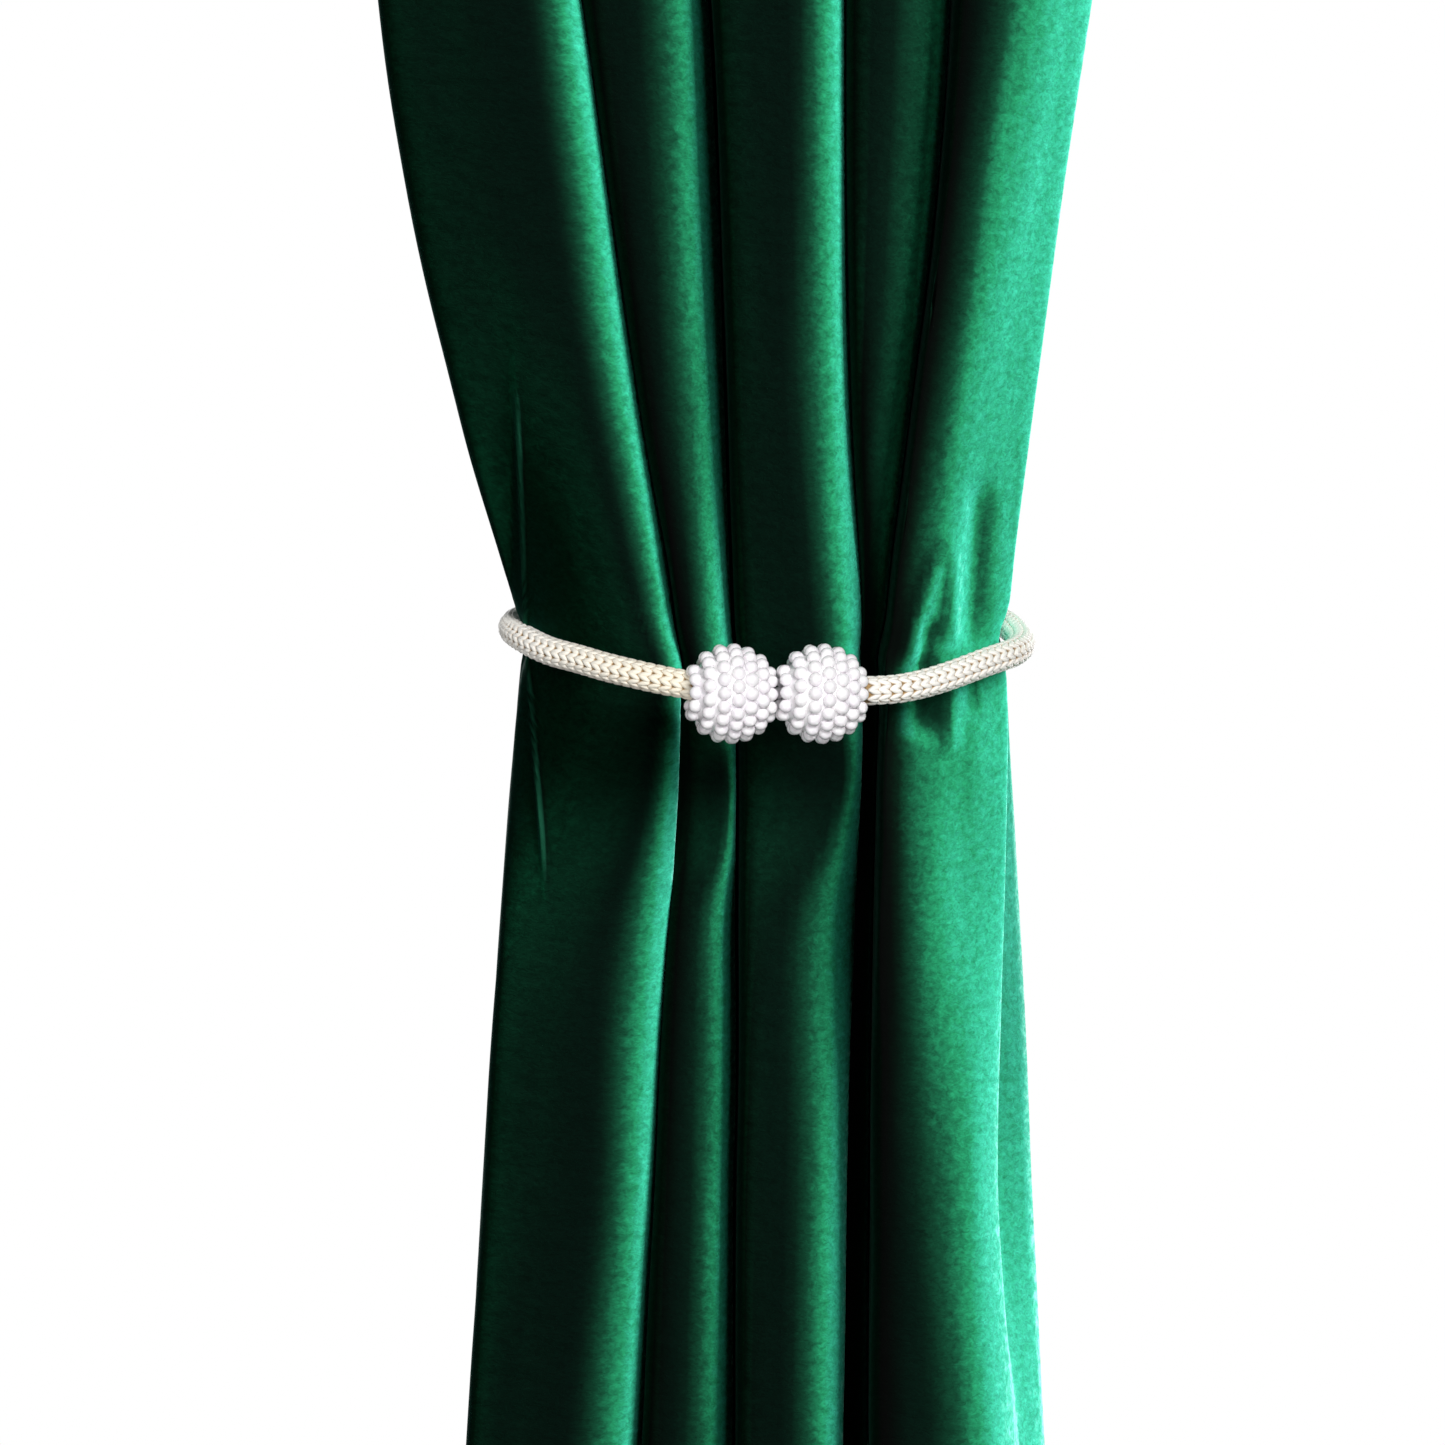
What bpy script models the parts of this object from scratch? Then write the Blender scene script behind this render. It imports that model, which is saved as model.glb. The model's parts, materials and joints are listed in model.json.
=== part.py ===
# Velvet grommet curtain, drawn to a stack and held in by a cord tieback with two magnetic balls.
# Metres, +Z up. The origin is the middle of the heading's top edge, the cloth hangs down from it,
# and the room side faces -Y.
from collections import namedtuple
from math import cos, exp, pi, sin

import bmesh
import bpy
import numpy as np
from mathutils import Matrix, Vector

# Cloth, as cut
CLOTH_WIDTH = 1.40
CURTAIN_DROP = 2.45
HEADING_DROP = 0.11
PANEL_THICKNESS = 0.0016
HEADING_THICKNESS = 0.003
PIECE_GAP = 0.0003

# Eyelets, one in each leg of the heading
EYELET_COUNT = 10
EYELET_DROP = 0.055
EYELET_TO_HEM = 0.050
EYELET_BORE_RADIUS = 0.020
EYELET_BARREL_RADIUS = 0.0216
EYELET_FLANGE_RADIUS = 0.033
EYELET_HOLE_RADIUS = 0.0220
EYELET_HALF_DEPTH = 0.0044
EYELET_ROUNDING = 0.003
EYELET_LIP_FALL = 0.0010
EYELET_FACE_FALL = 0.0004
EYELET_SIDES = 16
EYELET_SPACING = (CLOTH_WIDTH - 2 * EYELET_TO_HEM) / (EYELET_COUNT - 1)

# Heading folds: how far apart the legs stand on the rod, and how uneven each one is
LEG_PITCH = 0.043
LEG_SHIFTS = (0.000, 0.003, -0.002, 0.002, -0.003, 0.002, 0.003, -0.002, 0.002, 0.000)

# Drape: where each fold's right edge shows from the front, at heights below the top edge.
# left is the curtain's left outline, and hem the right side hem that shows past fold e.
# These are the cloth's faces, and its middle lies half a thickness inside them.
Edges = namedtuple("Edges", "drop left a b c d e hem")
EDGES = (
    Edges(0.1100, -0.1935, -0.1505, -0.0645, 0.0215, 0.1075, 0.1935, 0.1935),
    Edges(0.4500, -0.1850, -0.1380, -0.0570, 0.0235, 0.1010, 0.1840, 0.1850),
    Edges(0.8000, -0.1680, -0.1120, -0.0420, 0.0265, 0.0880, 0.1600, 0.1615),
    Edges(1.0500, -0.1488, -0.0830, -0.0280, 0.0285, 0.0745, 0.1350, 0.1365),
    Edges(1.2085, -0.1348, -0.0627, -0.0189, 0.0291, 0.0658, 0.1165, 0.1178),
    Edges(1.2785, -0.1240, -0.0530, -0.0153, 0.0294, 0.0605, 0.1058, 0.1072),
    Edges(1.3500, -0.1062, -0.0417, -0.0130, 0.0320, 0.0512, 0.0964, 0.0975),
    Edges(1.4000, -0.0925, -0.0325, -0.0110, 0.0350, 0.0445, 0.0897, 0.0905),
    Edges(1.4200, -0.0872, -0.0300, -0.0103, 0.0355, 0.0426, 0.0878, 0.0884),
    Edges(1.4310, -0.0858, -0.0288, -0.0098, 0.0357, 0.0415, 0.0869, 0.0874),
    Edges(1.4620, -0.0877, -0.0290, -0.0092, 0.0354, 0.0405, 0.0872, 0.0884),
    Edges(1.5100, -0.0914, -0.0310, -0.0091, 0.0336, 0.0395, 0.0862, 0.0915),
    Edges(1.5620, -0.0948, -0.0347, -0.0091, 0.0315, 0.0400, 0.0847, 0.0946),
    Edges(1.6275, -0.0986, -0.0378, -0.0100, 0.0300, 0.0410, 0.0832, 0.0972),
    Edges(1.7136, -0.1040, -0.0424, -0.0102, 0.0287, 0.0425, 0.0889, 0.1015),
    Edges(2.0500, -0.1256, -0.0600, -0.0150, 0.0250, 0.0560, 0.1080, 0.1200),
    Edges(2.4500, -0.1485, -0.0810, -0.0200, 0.0210, 0.0740, 0.1290, 0.1420),
)

# How far each fold's crown stands in front of the rod's line, and the back folds behind it.
Depths = namedtuple("Depths", "drop a b c d e back")
DEPTHS = (
    Depths(0.1100, 0.060, 0.060, 0.060, 0.060, 0.060, 0.060),
    Depths(0.8000, 0.063, 0.058, 0.062, 0.057, 0.062, 0.059),
    Depths(1.2085, 0.063, 0.056, 0.062, 0.052, 0.060, 0.057),
    Depths(1.3500, 0.056, 0.053, 0.056, 0.042, 0.055, 0.052),
    Depths(1.4310, 0.049, 0.048, 0.049, 0.029, 0.047, 0.044),
    Depths(1.5100, 0.055, 0.051, 0.055, 0.028, 0.052, 0.051),
    Depths(1.7136, 0.061, 0.054, 0.059, 0.026, 0.058, 0.056),
    Depths(2.4500, 0.064, 0.058, 0.062, 0.050, 0.062, 0.058),
)

# Where each fold's crown stands, from its left edge at 0 to its right edge at 1
Crowns = namedtuple("Crowns", "drop a b c d e")
CROWNS = (
    Crowns(0.1100, 0.50, 0.50, 0.50, 0.50, 0.50),
    Crowns(0.8000, 0.68, 0.62, 0.70, 0.56, 0.44),
    Crowns(1.2085, 0.78, 0.66, 0.78, 0.58, 0.40),
    Crowns(1.4310, 0.80, 0.66, 0.76, 0.68, 0.42),
    Crowns(1.7136, 0.78, 0.60, 0.62, 0.60, 0.54),
    Crowns(2.4500, 0.68, 0.58, 0.60, 0.52, 0.50),
)

# From the heading's straight legs to the draped folds
DRAPE_STARTS = 0.11
DRAPE_WHOLE = 0.60

# The tie pulls the folds in on a plane that is lower at the front
TIE_DROP = 1.429
TIE_TILT = 0.28
TIE_REACH = 0.11

# The cord draws the folds into an oval, so the outer ones are less deep there
OVAL_SHARE = 0.62
OVAL_HALF_WIDTH = 0.088
OVAL_REACH = 0.07
OVAL_POWER = 4

# Right under the cord the cloth gives by this share of its width
CORD_PINCH = 0.036
PINCH_REACH = 0.008

# How far a fold that stands back slips under the fold on its left, and its least clearance there
TUCK_SHARE = 0.15
FOLD_CLEARANCE = 0.0045

# Section of a front fold, from its left leg round to its right leg. Depths are shares of the
# crown's depth and places across are shares of the fold's width. Pairs are for a crown at the
# fold's left edge and for one at its right edge.
NECK_LIFT = 0.62
NECK_INSET = 0.05
FIRST_NECK_LIFT = 1.0
FIRST_NECK_INSET = 0.03
NECK_DEPTH = 0.46
SHOULDER_LIMITS = (0.16, 0.38)
SHOULDER_DEPTH = 0.78
FACET_PLACES = (0.20, 0.55)
FACET_DEPTH = 0.91
BROW_PLACE = 0.55
BROW_DEPTHS = (0.93, 0.98)
RIM_DEPTHS = (0.52, 0.88)
RETURN_PLACE = 0.50
RETURN_DEPTH = 0.38

# Section of a back fold, which swells out past its legs, in shares of its depth and gap
BACK_SWELL = 0.16
BACK_SWELL_DEPTH = 0.55
BACK_CORNER = 0.12
BACK_CORNER_DEPTH = 0.90

# The outer legs stand this far in from the outline, and the side hems turn in by this much
SIDE_INSET = 0.003
HEM_CURL = 0.004
HEM_DEPTH = 0.82
HEM_BEND_DEPTH = 0.42

# Tieback. Its cord goes round the folds from ball to ball, and the balls meet at BALLS_MEET.
CORD_RADIUS = 0.0050
CORD_POINTS = 54
CORD_BEVEL_RESOLUTION = 3
BALL_HALF_WIDTH = 0.0155
BALL_RADIUS = 0.0174
BALL_SEGMENTS = 18
BALL_RINGS = 11
BALLS_MEET = (0.0047, -0.0700, 1.4514)
Route = namedtuple("Route", "x y drop")
CORD_ROUTE = (
    Route(-0.0264, -0.0664, 1.4482),
    Route(-0.0350, -0.0643, 1.4466),
    Route(-0.0448, -0.0605, 1.4444),
    Route(-0.0546, -0.0545, 1.4420),
    Route(-0.0644, -0.0465, 1.4391),
    Route(-0.0750, -0.0364, 1.4361),
    Route(-0.0845, -0.0222, 1.4314),
    Route(-0.0882, -0.0072, 1.4284),
    Route(-0.0882, 0.0080, 1.4262),
    Route(-0.0855, 0.0222, 1.4243),
    Route(-0.0740, 0.0350, 1.4215),
    Route(-0.0560, 0.0455, 1.4190),
    Route(-0.0300, 0.0502, 1.4175),
    Route(0.0000, 0.0512, 1.4172),
    Route(0.0320, 0.0502, 1.4178),
    Route(0.0600, 0.0450, 1.4196),
    Route(0.0780, 0.0350, 1.4225),
    Route(0.0880, 0.0218, 1.4262),
    Route(0.0918, 0.0072, 1.4305),
    Route(0.0922, -0.0092, 1.4337),
    Route(0.0888, -0.0248, 1.4366),
    Route(0.0782, -0.0383, 1.4403),
    Route(0.0672, -0.0485, 1.4444),
    Route(0.0567, -0.0565, 1.4477),
    Route(0.0466, -0.0628, 1.4497),
    Route(0.0359, -0.0662, 1.4504),
)

# Mesh
STEPS_A_BEND = 6
STEPS_A_STRAIGHT = 2
STEPS_A_FOLD = STEPS_A_BEND + 2 * STEPS_A_STRAIGHT
STEPS_TO_HEM = 3
SPLINE_STEPS = 12
BEND_WEIGHT = 0.009
PANEL_ROWS = (
    0.1103, 0.26, 0.45, 0.65, 0.85, 1.03, 1.16, 1.26, 1.32, 1.365, 1.392, 1.410, 1.420,
    1.429, 1.438, 1.450, 1.470, 1.500, 1.545, 1.61, 1.71, 1.86, 2.05, 2.25, CURTAIN_DROP,
)


def clear_scene():
    for obj in list(bpy.data.objects):
        bpy.data.objects.remove(obj, do_unlink=True)


def collection(name):
    made = bpy.data.collections.new(name)
    bpy.context.scene.collection.children.link(made)
    return made


def material(name, colour, roughness, metallic=0.0):
    made = bpy.data.materials.new(name)
    made.use_nodes = True
    shader = made.node_tree.nodes["Principled BSDF"]
    shader.inputs["Base Color"].default_value = (*colour, 1.0)
    shader.inputs["Roughness"].default_value = roughness
    shader.inputs["Metallic"].default_value = metallic
    return made


def mix(start, end, share):
    return start + (end - start) * share


def ease(share):
    share = min(max(share, 0.0), 1.0)
    return share * share * (3 - 2 * share)


def row_at(table, drop):
    """The table's row at any drop, on a smooth curve through its own rows."""
    rows = np.array(table, float)
    drops = rows[:, 0]
    drop = min(max(drop, drops[0]), drops[-1])
    last = min(int(np.searchsorted(drops, drop, side="right")), len(rows) - 1)
    first = last - 1
    secants = (rows[1:] - rows[:-1]) / (drops[1:] - drops[:-1])[:, None]
    slopes = np.vstack([secants[:1], (secants[1:] + secants[:-1]) / 2, secants[-1:]])
    span = drops[last] - drops[first]
    t = (drop - drops[first]) / span
    return type(table[0])(*(
        (2 * t**3 - 3 * t**2 + 1) * rows[first]
        + (t**3 - 2 * t**2 + t) * span * slopes[first]
        + (3 * t**2 - 2 * t**3) * rows[last]
        + (t**3 - t**2) * span * slopes[last]
    ))


def smooth_line(points):
    """Points on a smooth curve through the given ones, SPLINE_STEPS to each stretch."""
    points = np.array(points, float)
    ends = np.vstack([2 * points[0] - points[1], points, 2 * points[-1] - points[-2]])
    line = [points[0]]
    for before, start, end, after in zip(ends, ends[1:], ends[2:], ends[3:]):
        leave, arrive = (end - before) / 2, (after - start) / 2
        for step in range(1, SPLINE_STEPS + 1):
            t = step / SPLINE_STEPS
            line.append(
                (2 * t**3 - 3 * t**2 + 1) * start
                + (t**3 - 2 * t**2 + t) * leave
                + (3 * t**2 - 2 * t**3) * end
                + (t**3 - t**2) * arrive
            )
    return np.array(line)


def evenly(line, steps, bend_weight=0.0):
    """The line again, cut into equal steps, which are shorter where it bends."""
    line = np.array(line, float)
    runs = np.diff(line, axis=0)
    lengths = np.linalg.norm(runs, axis=1)
    headings = np.unwrap(np.arctan2(runs[:, 1], runs[:, 0]))
    turns = np.abs(np.gradient(headings)) if bend_weight else np.zeros(len(runs))
    along = np.concatenate([[0], np.cumsum(lengths + bend_weight * turns)])
    places = np.linspace(0, along[-1], steps + 1)
    return np.stack([np.interp(places, along, axis) for axis in line.T], axis=1)


def join_stretches(stretches):
    """One line from stretches that share their end points."""
    return np.vstack([stretches[0]] + [s[1:] for s in stretches[1:]])


def heading_legs():
    """Where each leg of the heading crosses the rod's line."""
    return [
        (k - (EYELET_COUNT - 1) / 2) * LEG_PITCH + shift
        for k, shift in enumerate(LEG_SHIFTS)
    ]


def heading_line():
    """The heading from above: straight legs through the eyelets, and round bends between them."""
    legs = heading_legs()
    stretches = [evenly([(legs[0], EYELET_TO_HEM), (legs[0], 0)], STEPS_TO_HEM)]
    for k, (here, there) in enumerate(zip(legs, legs[1:])):
        side = -1 if k % 2 == 0 else 1
        radius = (there - here) / 2
        straight = (EYELET_SPACING - pi * radius) / 2
        arc = [
            (here + radius - radius * cos(turn), side * (straight + radius * sin(turn)))
            for turn in np.linspace(0, pi, STEPS_A_BEND + 1)
        ]
        stretches.append(evenly([(here, 0), arc[0]], STEPS_A_STRAIGHT))
        stretches.append(np.array(arc))
        stretches.append(evenly([arc[-1], (there, 0)], STEPS_A_STRAIGHT))
    stretches.append(evenly([(legs[-1], 0), (legs[-1], EYELET_TO_HEM)], STEPS_TO_HEM))
    return join_stretches(stretches)


def drape_legs(rights):
    """Where the ten legs between the folds cross the rod's line, lower down."""
    even = np.linspace(rights[0] + SIDE_INSET, rights[-1] - SIDE_INSET, EYELET_COUNT)
    legs = []
    for left, right in zip(rights, rights[1:]):
        quarter = (right - left) / 4
        legs += [left + quarter, right - quarter]
    legs[0], legs[-1] = even[0], even[-1]
    return [(a + b) / 2 for a, b in zip(even, legs)]


def drape_line(drop):
    """The draped cloth from above: broad front folds that lean right, each over the next."""
    edges, depths = row_at(EDGES, drop), row_at(DEPTHS, drop)
    half = PANEL_THICKNESS / 2
    rights = [edges.left + half] + [face - half for face in (edges.a, edges.b, edges.c, edges.d, edges.e)]
    hem = edges.hem - half
    fronts = [depths.a, depths.b, depths.c, depths.d, depths.e]
    crowns = row_at(CROWNS, drop)[1:]
    legs = drape_legs(rights)
    back = depths.back
    stretches = [[
        (rights[0] + HEM_CURL, HEM_DEPTH * back),
        (rights[0], HEM_BEND_DEPTH * back),
        (legs[0], 0),
    ]]
    for fold, (front, crown) in enumerate(zip(fronts, crowns)):
        before = fronts[fold - 1] if fold else front
        left = rights[fold] - TUCK_SHARE * max(before - front, 0)
        right = rights[fold + 1]
        wide = right - left
        leg_in, leg_out = legs[2 * fold], legs[2 * fold + 1]
        lift, inset = (NECK_LIFT, NECK_INSET) if fold else (FIRST_NECK_LIFT, FIRST_NECK_INSET)
        shoulder = min(max(FOLD_CLEARANCE / wide, SHOULDER_LIMITS[0]), SHOULDER_LIMITS[1])
        facet = mix(shoulder, crown, mix(*FACET_PLACES, crown))
        brow = mix(crown, 1, BROW_PLACE)
        stretches.append([
            (leg_in, 0),
            (mix(leg_in, left + inset * wide, lift), -NECK_DEPTH * front),
            (left + shoulder * wide, -SHOULDER_DEPTH * front),
            (left + facet * wide, -FACET_DEPTH * front),
            (left + crown * wide, -front),
            (left + brow * wide, -mix(*BROW_DEPTHS, crown) * front),
            (right, -mix(*RIM_DEPTHS, crown) * front),
            (mix(leg_out, right, RETURN_PLACE), -RETURN_DEPTH * front),
            (leg_out, 0),
        ])
        if fold < len(fronts) - 1:
            next_leg = legs[2 * fold + 2]
            gap = next_leg - leg_out
            swell, corner = BACK_SWELL * gap, BACK_CORNER * gap
            stretches.append([
                (leg_out, 0),
                (leg_out - swell, BACK_SWELL_DEPTH * back),
                (leg_out + corner, BACK_CORNER_DEPTH * back),
                ((leg_out + next_leg) / 2, back),
                (next_leg - corner, BACK_CORNER_DEPTH * back),
                (next_leg + swell, BACK_SWELL_DEPTH * back),
                (next_leg, 0),
            ])
    stretches.append([
        (legs[-1], 0),
        (hem, HEM_BEND_DEPTH * back),
        (hem - HEM_CURL, HEM_DEPTH * back),
    ])
    points, joins = [stretches[0][0]], [0]
    for stretch in stretches:
        points += stretch[1:]
        joins.append(len(points) - 1)
    line = smooth_line(points)
    steps = [STEPS_TO_HEM] + [STEPS_A_FOLD] * (len(stretches) - 2) + [STEPS_TO_HEM]
    return join_stretches([
        evenly(line[first * SPLINE_STEPS : last * SPLINE_STEPS + 1], count, BEND_WEIGHT)
        for first, last, count in zip(joins, joins[1:], steps)
    ])


def near_tie(drop, reach):
    return exp(-(((drop - TIE_DROP) / reach) ** 2))


def cloth_row(drop):
    """The cloth's points at one height, from the left side hem to the right one."""
    draped = ease((drop - DRAPE_STARTS) / (DRAPE_WHOLE - DRAPE_STARTS))
    line = (1 - draped) * heading_line() + draped * drape_line(drop)
    squeeze = OVAL_SHARE * near_tie(drop, OVAL_REACH)
    slope = TIE_TILT * near_tie(drop, TIE_REACH)
    pinch = 1 - CORD_PINCH * near_tie(drop, PINCH_REACH)
    row = []
    for x, y in line:
        y *= 1 - squeeze * min(abs(x) / OVAL_HALF_WIDTH, 1) ** OVAL_POWER
        row.append(Vector((x * pinch, y, slope * y - drop)))
    return row


def cloth_sheet(name, drops, thickness, place):
    """A sheet through the rows at these drops, with its thickness to both sides."""
    rows = [cloth_row(drop) for drop in drops]
    across = len(rows[0])
    cloth = bmesh.new()
    bmesh.ops.create_grid(cloth, x_segments=across - 1, y_segments=len(rows) - 1, size=0.5)
    cloth.verts.ensure_lookup_table()
    for index, vert in enumerate(cloth.verts):
        vert.co = rows[index // across][index % across]
    mesh = bpy.data.meshes.new(name)
    cloth.to_mesh(mesh)
    cloth.free()
    sheet = bpy.data.objects.new(name, mesh)
    place.objects.link(sheet)
    wall = sheet.modifiers.new("Thickness", "SOLIDIFY")
    wall.thickness = thickness
    wall.offset = 0
    wall.use_even_offset = True
    return sheet


def turned(name, profile, sides, place):
    """A closed profile of (radius, height) turned about the Z axis."""
    ring = bmesh.new()
    verts = [ring.verts.new((radius, 0, height)) for radius, height in profile]
    for here, there in zip(verts, verts[1:] + verts[:1]):
        ring.edges.new((here, there))
    mesh = bpy.data.meshes.new(name)
    ring.to_mesh(mesh)
    ring.free()
    obj = bpy.data.objects.new(name, mesh)
    place.objects.link(obj)
    screw = obj.modifiers.new("Turn", "SCREW")
    screw.steps = sides
    screw.render_steps = sides
    screw.use_merge_vertices = True
    screw.merge_threshold = 0.00005
    return obj


def eyelet_profile():
    """Half of the ring in section, with the groove that grips the heading."""
    groove = HEADING_THICKNESS / 2 + PIECE_GAP
    half = EYELET_HALF_DEPTH
    return [
        (EYELET_BORE_RADIUS, half - EYELET_LIP_FALL),
        (EYELET_BORE_RADIUS + EYELET_ROUNDING, half),
        (EYELET_FLANGE_RADIUS - EYELET_ROUNDING, half - EYELET_FACE_FALL),
        (EYELET_FLANGE_RADIUS, groove),
        (EYELET_BARREL_RADIUS, groove),
        (EYELET_BARREL_RADIUS, -groove),
        (EYELET_FLANGE_RADIUS, -groove),
        (EYELET_FLANGE_RADIUS - EYELET_ROUNDING, EYELET_FACE_FALL - half),
        (EYELET_BORE_RADIUS + EYELET_ROUNDING, -half),
        (EYELET_BORE_RADIUS, EYELET_LIP_FALL - half),
    ]


def along_x(position):
    """Turns a piece whose axis is Z to lie along X, at a place."""
    return Matrix.Translation(position) @ Matrix.Rotation(pi / 2, 4, "Y")


def make_eyelets(place, metal):
    for number, leg in enumerate(heading_legs(), 1):
        ring = turned(f"eyelet_{number:02d}", eyelet_profile(), EYELET_SIDES, place)
        ring.matrix_world = along_x((leg, 0, -EYELET_DROP))
        ring.data.materials.append(metal)


def cut_eyelet_holes(heading, cutters):
    for number, leg in enumerate(heading_legs(), 1):
        hole = bmesh.new()
        bmesh.ops.create_cone(
            hole,
            cap_ends=True,
            segments=EYELET_SIDES,
            radius1=EYELET_HOLE_RADIUS,
            radius2=EYELET_HOLE_RADIUS,
            depth=4 * HEADING_THICKNESS,
        )
        mesh = bpy.data.meshes.new(f"hole_{number:02d}")
        hole.to_mesh(mesh)
        hole.free()
        cutter = bpy.data.objects.new(mesh.name, mesh)
        cutters.objects.link(cutter)
        cutter.matrix_world = along_x((leg, 0, -EYELET_DROP))
        cutter.hide_render = True
        cutter.display_type = "WIRE"
    cut = heading.modifiers.new("Eyelet holes", "BOOLEAN")
    cut.operation = "DIFFERENCE"
    cut.operand_type = "COLLECTION"
    cut.collection = cutters


def make_cord(place, cotton):
    """The cord from one ball round the back of the folds to the other ball."""
    route = smooth_line([(point.x, point.y, -point.drop) for point in CORD_ROUTE])
    points = evenly(route, CORD_POINTS - 1)
    curve = bpy.data.curves.new("tie_cord", "CURVE")
    curve.dimensions = "3D"
    curve.bevel_depth = CORD_RADIUS
    curve.bevel_resolution = CORD_BEVEL_RESOLUTION
    curve.use_fill_caps = True
    spline = curve.splines.new("POLY")
    spline.points.add(len(points) - 1)
    for point, place_on_route in zip(spline.points, points):
        point.co = (*place_on_route, 1)
    cord = bpy.data.objects.new("tie_cord", curve)
    place.objects.link(cord)
    curve.materials.append(cotton)


def make_ball(name, side, place, pearl):
    """A ball a little flatter along the cord, beside the point where the two meet."""
    x, y, drop = BALLS_MEET
    ball = bmesh.new()
    bmesh.ops.create_uvsphere(ball, u_segments=BALL_SEGMENTS, v_segments=BALL_RINGS, radius=BALL_RADIUS)
    bmesh.ops.scale(ball, vec=(1, 1, BALL_HALF_WIDTH / BALL_RADIUS), verts=ball.verts)
    mesh = bpy.data.meshes.new(name)
    ball.to_mesh(mesh)
    ball.free()
    mesh.shade_smooth()
    obj = bpy.data.objects.new(name, mesh)
    place.objects.link(obj)
    obj.matrix_world = along_x((x + side * (BALL_HALF_WIDTH + PIECE_GAP / 2), y, -drop))
    mesh.materials.append(pearl)


def main():
    clear_scene()
    curtain = collection("velvet_grommet_curtain")
    cutters = collection("cutters")
    velvet = material("green velvet", (0.004, 0.075, 0.036), 0.9)
    nickel = material("satin nickel", (0.62, 0.60, 0.57), 0.3, metallic=1.0)
    cotton = material("ivory cord", (0.86, 0.80, 0.70), 0.8)
    pearl = material("white pearl", (0.90, 0.88, 0.88), 0.25)
    panel = cloth_sheet("velvet_panel", PANEL_ROWS, PANEL_THICKNESS, curtain)
    panel.data.materials.append(velvet)
    heading = cloth_sheet("heading_band", (0.0, HEADING_DROP), HEADING_THICKNESS, curtain)
    heading.data.materials.append(velvet)
    cut_eyelet_holes(heading, cutters)
    make_eyelets(curtain, nickel)
    make_cord(curtain, cotton)
    make_ball("ball_left", -1, curtain, pearl)
    make_ball("ball_right", 1, curtain, pearl)


main()
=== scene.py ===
# Looks of the velvet grommet curtain: green velvet in its folds, tied by a knitted cord whose two
# magnetic balls are covered with pearls. Metres, +Z up, the room side faces -Y.
import json
from collections import namedtuple
from math import cos, exp, pi, radians, sin

import bmesh
import bpy
import numpy as np
from mathutils import Matrix, Vector, noise

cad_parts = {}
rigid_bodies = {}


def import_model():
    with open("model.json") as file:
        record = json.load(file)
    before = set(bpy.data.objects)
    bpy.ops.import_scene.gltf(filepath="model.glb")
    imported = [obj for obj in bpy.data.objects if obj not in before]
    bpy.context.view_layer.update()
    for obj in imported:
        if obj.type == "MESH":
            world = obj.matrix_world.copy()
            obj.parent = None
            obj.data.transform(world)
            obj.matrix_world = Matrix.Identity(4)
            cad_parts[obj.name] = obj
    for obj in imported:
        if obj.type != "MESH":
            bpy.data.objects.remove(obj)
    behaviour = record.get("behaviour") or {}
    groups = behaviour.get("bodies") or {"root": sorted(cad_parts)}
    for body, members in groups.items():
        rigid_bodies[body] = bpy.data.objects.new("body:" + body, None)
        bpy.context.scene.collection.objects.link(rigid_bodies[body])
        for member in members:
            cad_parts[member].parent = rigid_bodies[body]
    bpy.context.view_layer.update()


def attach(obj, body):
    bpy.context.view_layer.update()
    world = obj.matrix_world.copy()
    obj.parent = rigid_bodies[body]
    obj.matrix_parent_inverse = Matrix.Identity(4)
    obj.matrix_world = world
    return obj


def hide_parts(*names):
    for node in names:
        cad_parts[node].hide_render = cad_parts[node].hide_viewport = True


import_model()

# Cloth, as cut
CLOTH_WIDTH = 1.40
CURTAIN_DROP = 2.45
HEADING_DROP = 0.11
PANEL_THICKNESS = 0.0016
HEADING_THICKNESS = 0.003
PIECE_GAP = 0.0003

# Eyelets, one in each leg of the heading
EYELET_COUNT = 10
EYELET_DROP = 0.055
EYELET_TO_HEM = 0.050
EYELET_BORE_RADIUS = 0.020
EYELET_BARREL_RADIUS = 0.0216
EYELET_FLANGE_RADIUS = 0.033
EYELET_HOLE_RADIUS = 0.0220
EYELET_HALF_DEPTH = 0.0044
EYELET_ROUNDING = 0.003
EYELET_LIP_ROLL = 0.0022
EYELET_SIDES = 72
EYELET_ROLL_STEPS = 7
EYELET_SPACING = (CLOTH_WIDTH - 2 * EYELET_TO_HEM) / (EYELET_COUNT - 1)

# Heading folds: how far apart the legs stand on the rod, and how uneven each one is
LEG_PITCH = 0.043
LEG_SHIFTS = (0.000, 0.003, -0.002, 0.002, -0.003, 0.002, 0.003, -0.002, 0.002, 0.000)
LEG_SHARE = 0.2


def rows_of(kind, table):
    return tuple(kind(*row) for row in table)


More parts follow.
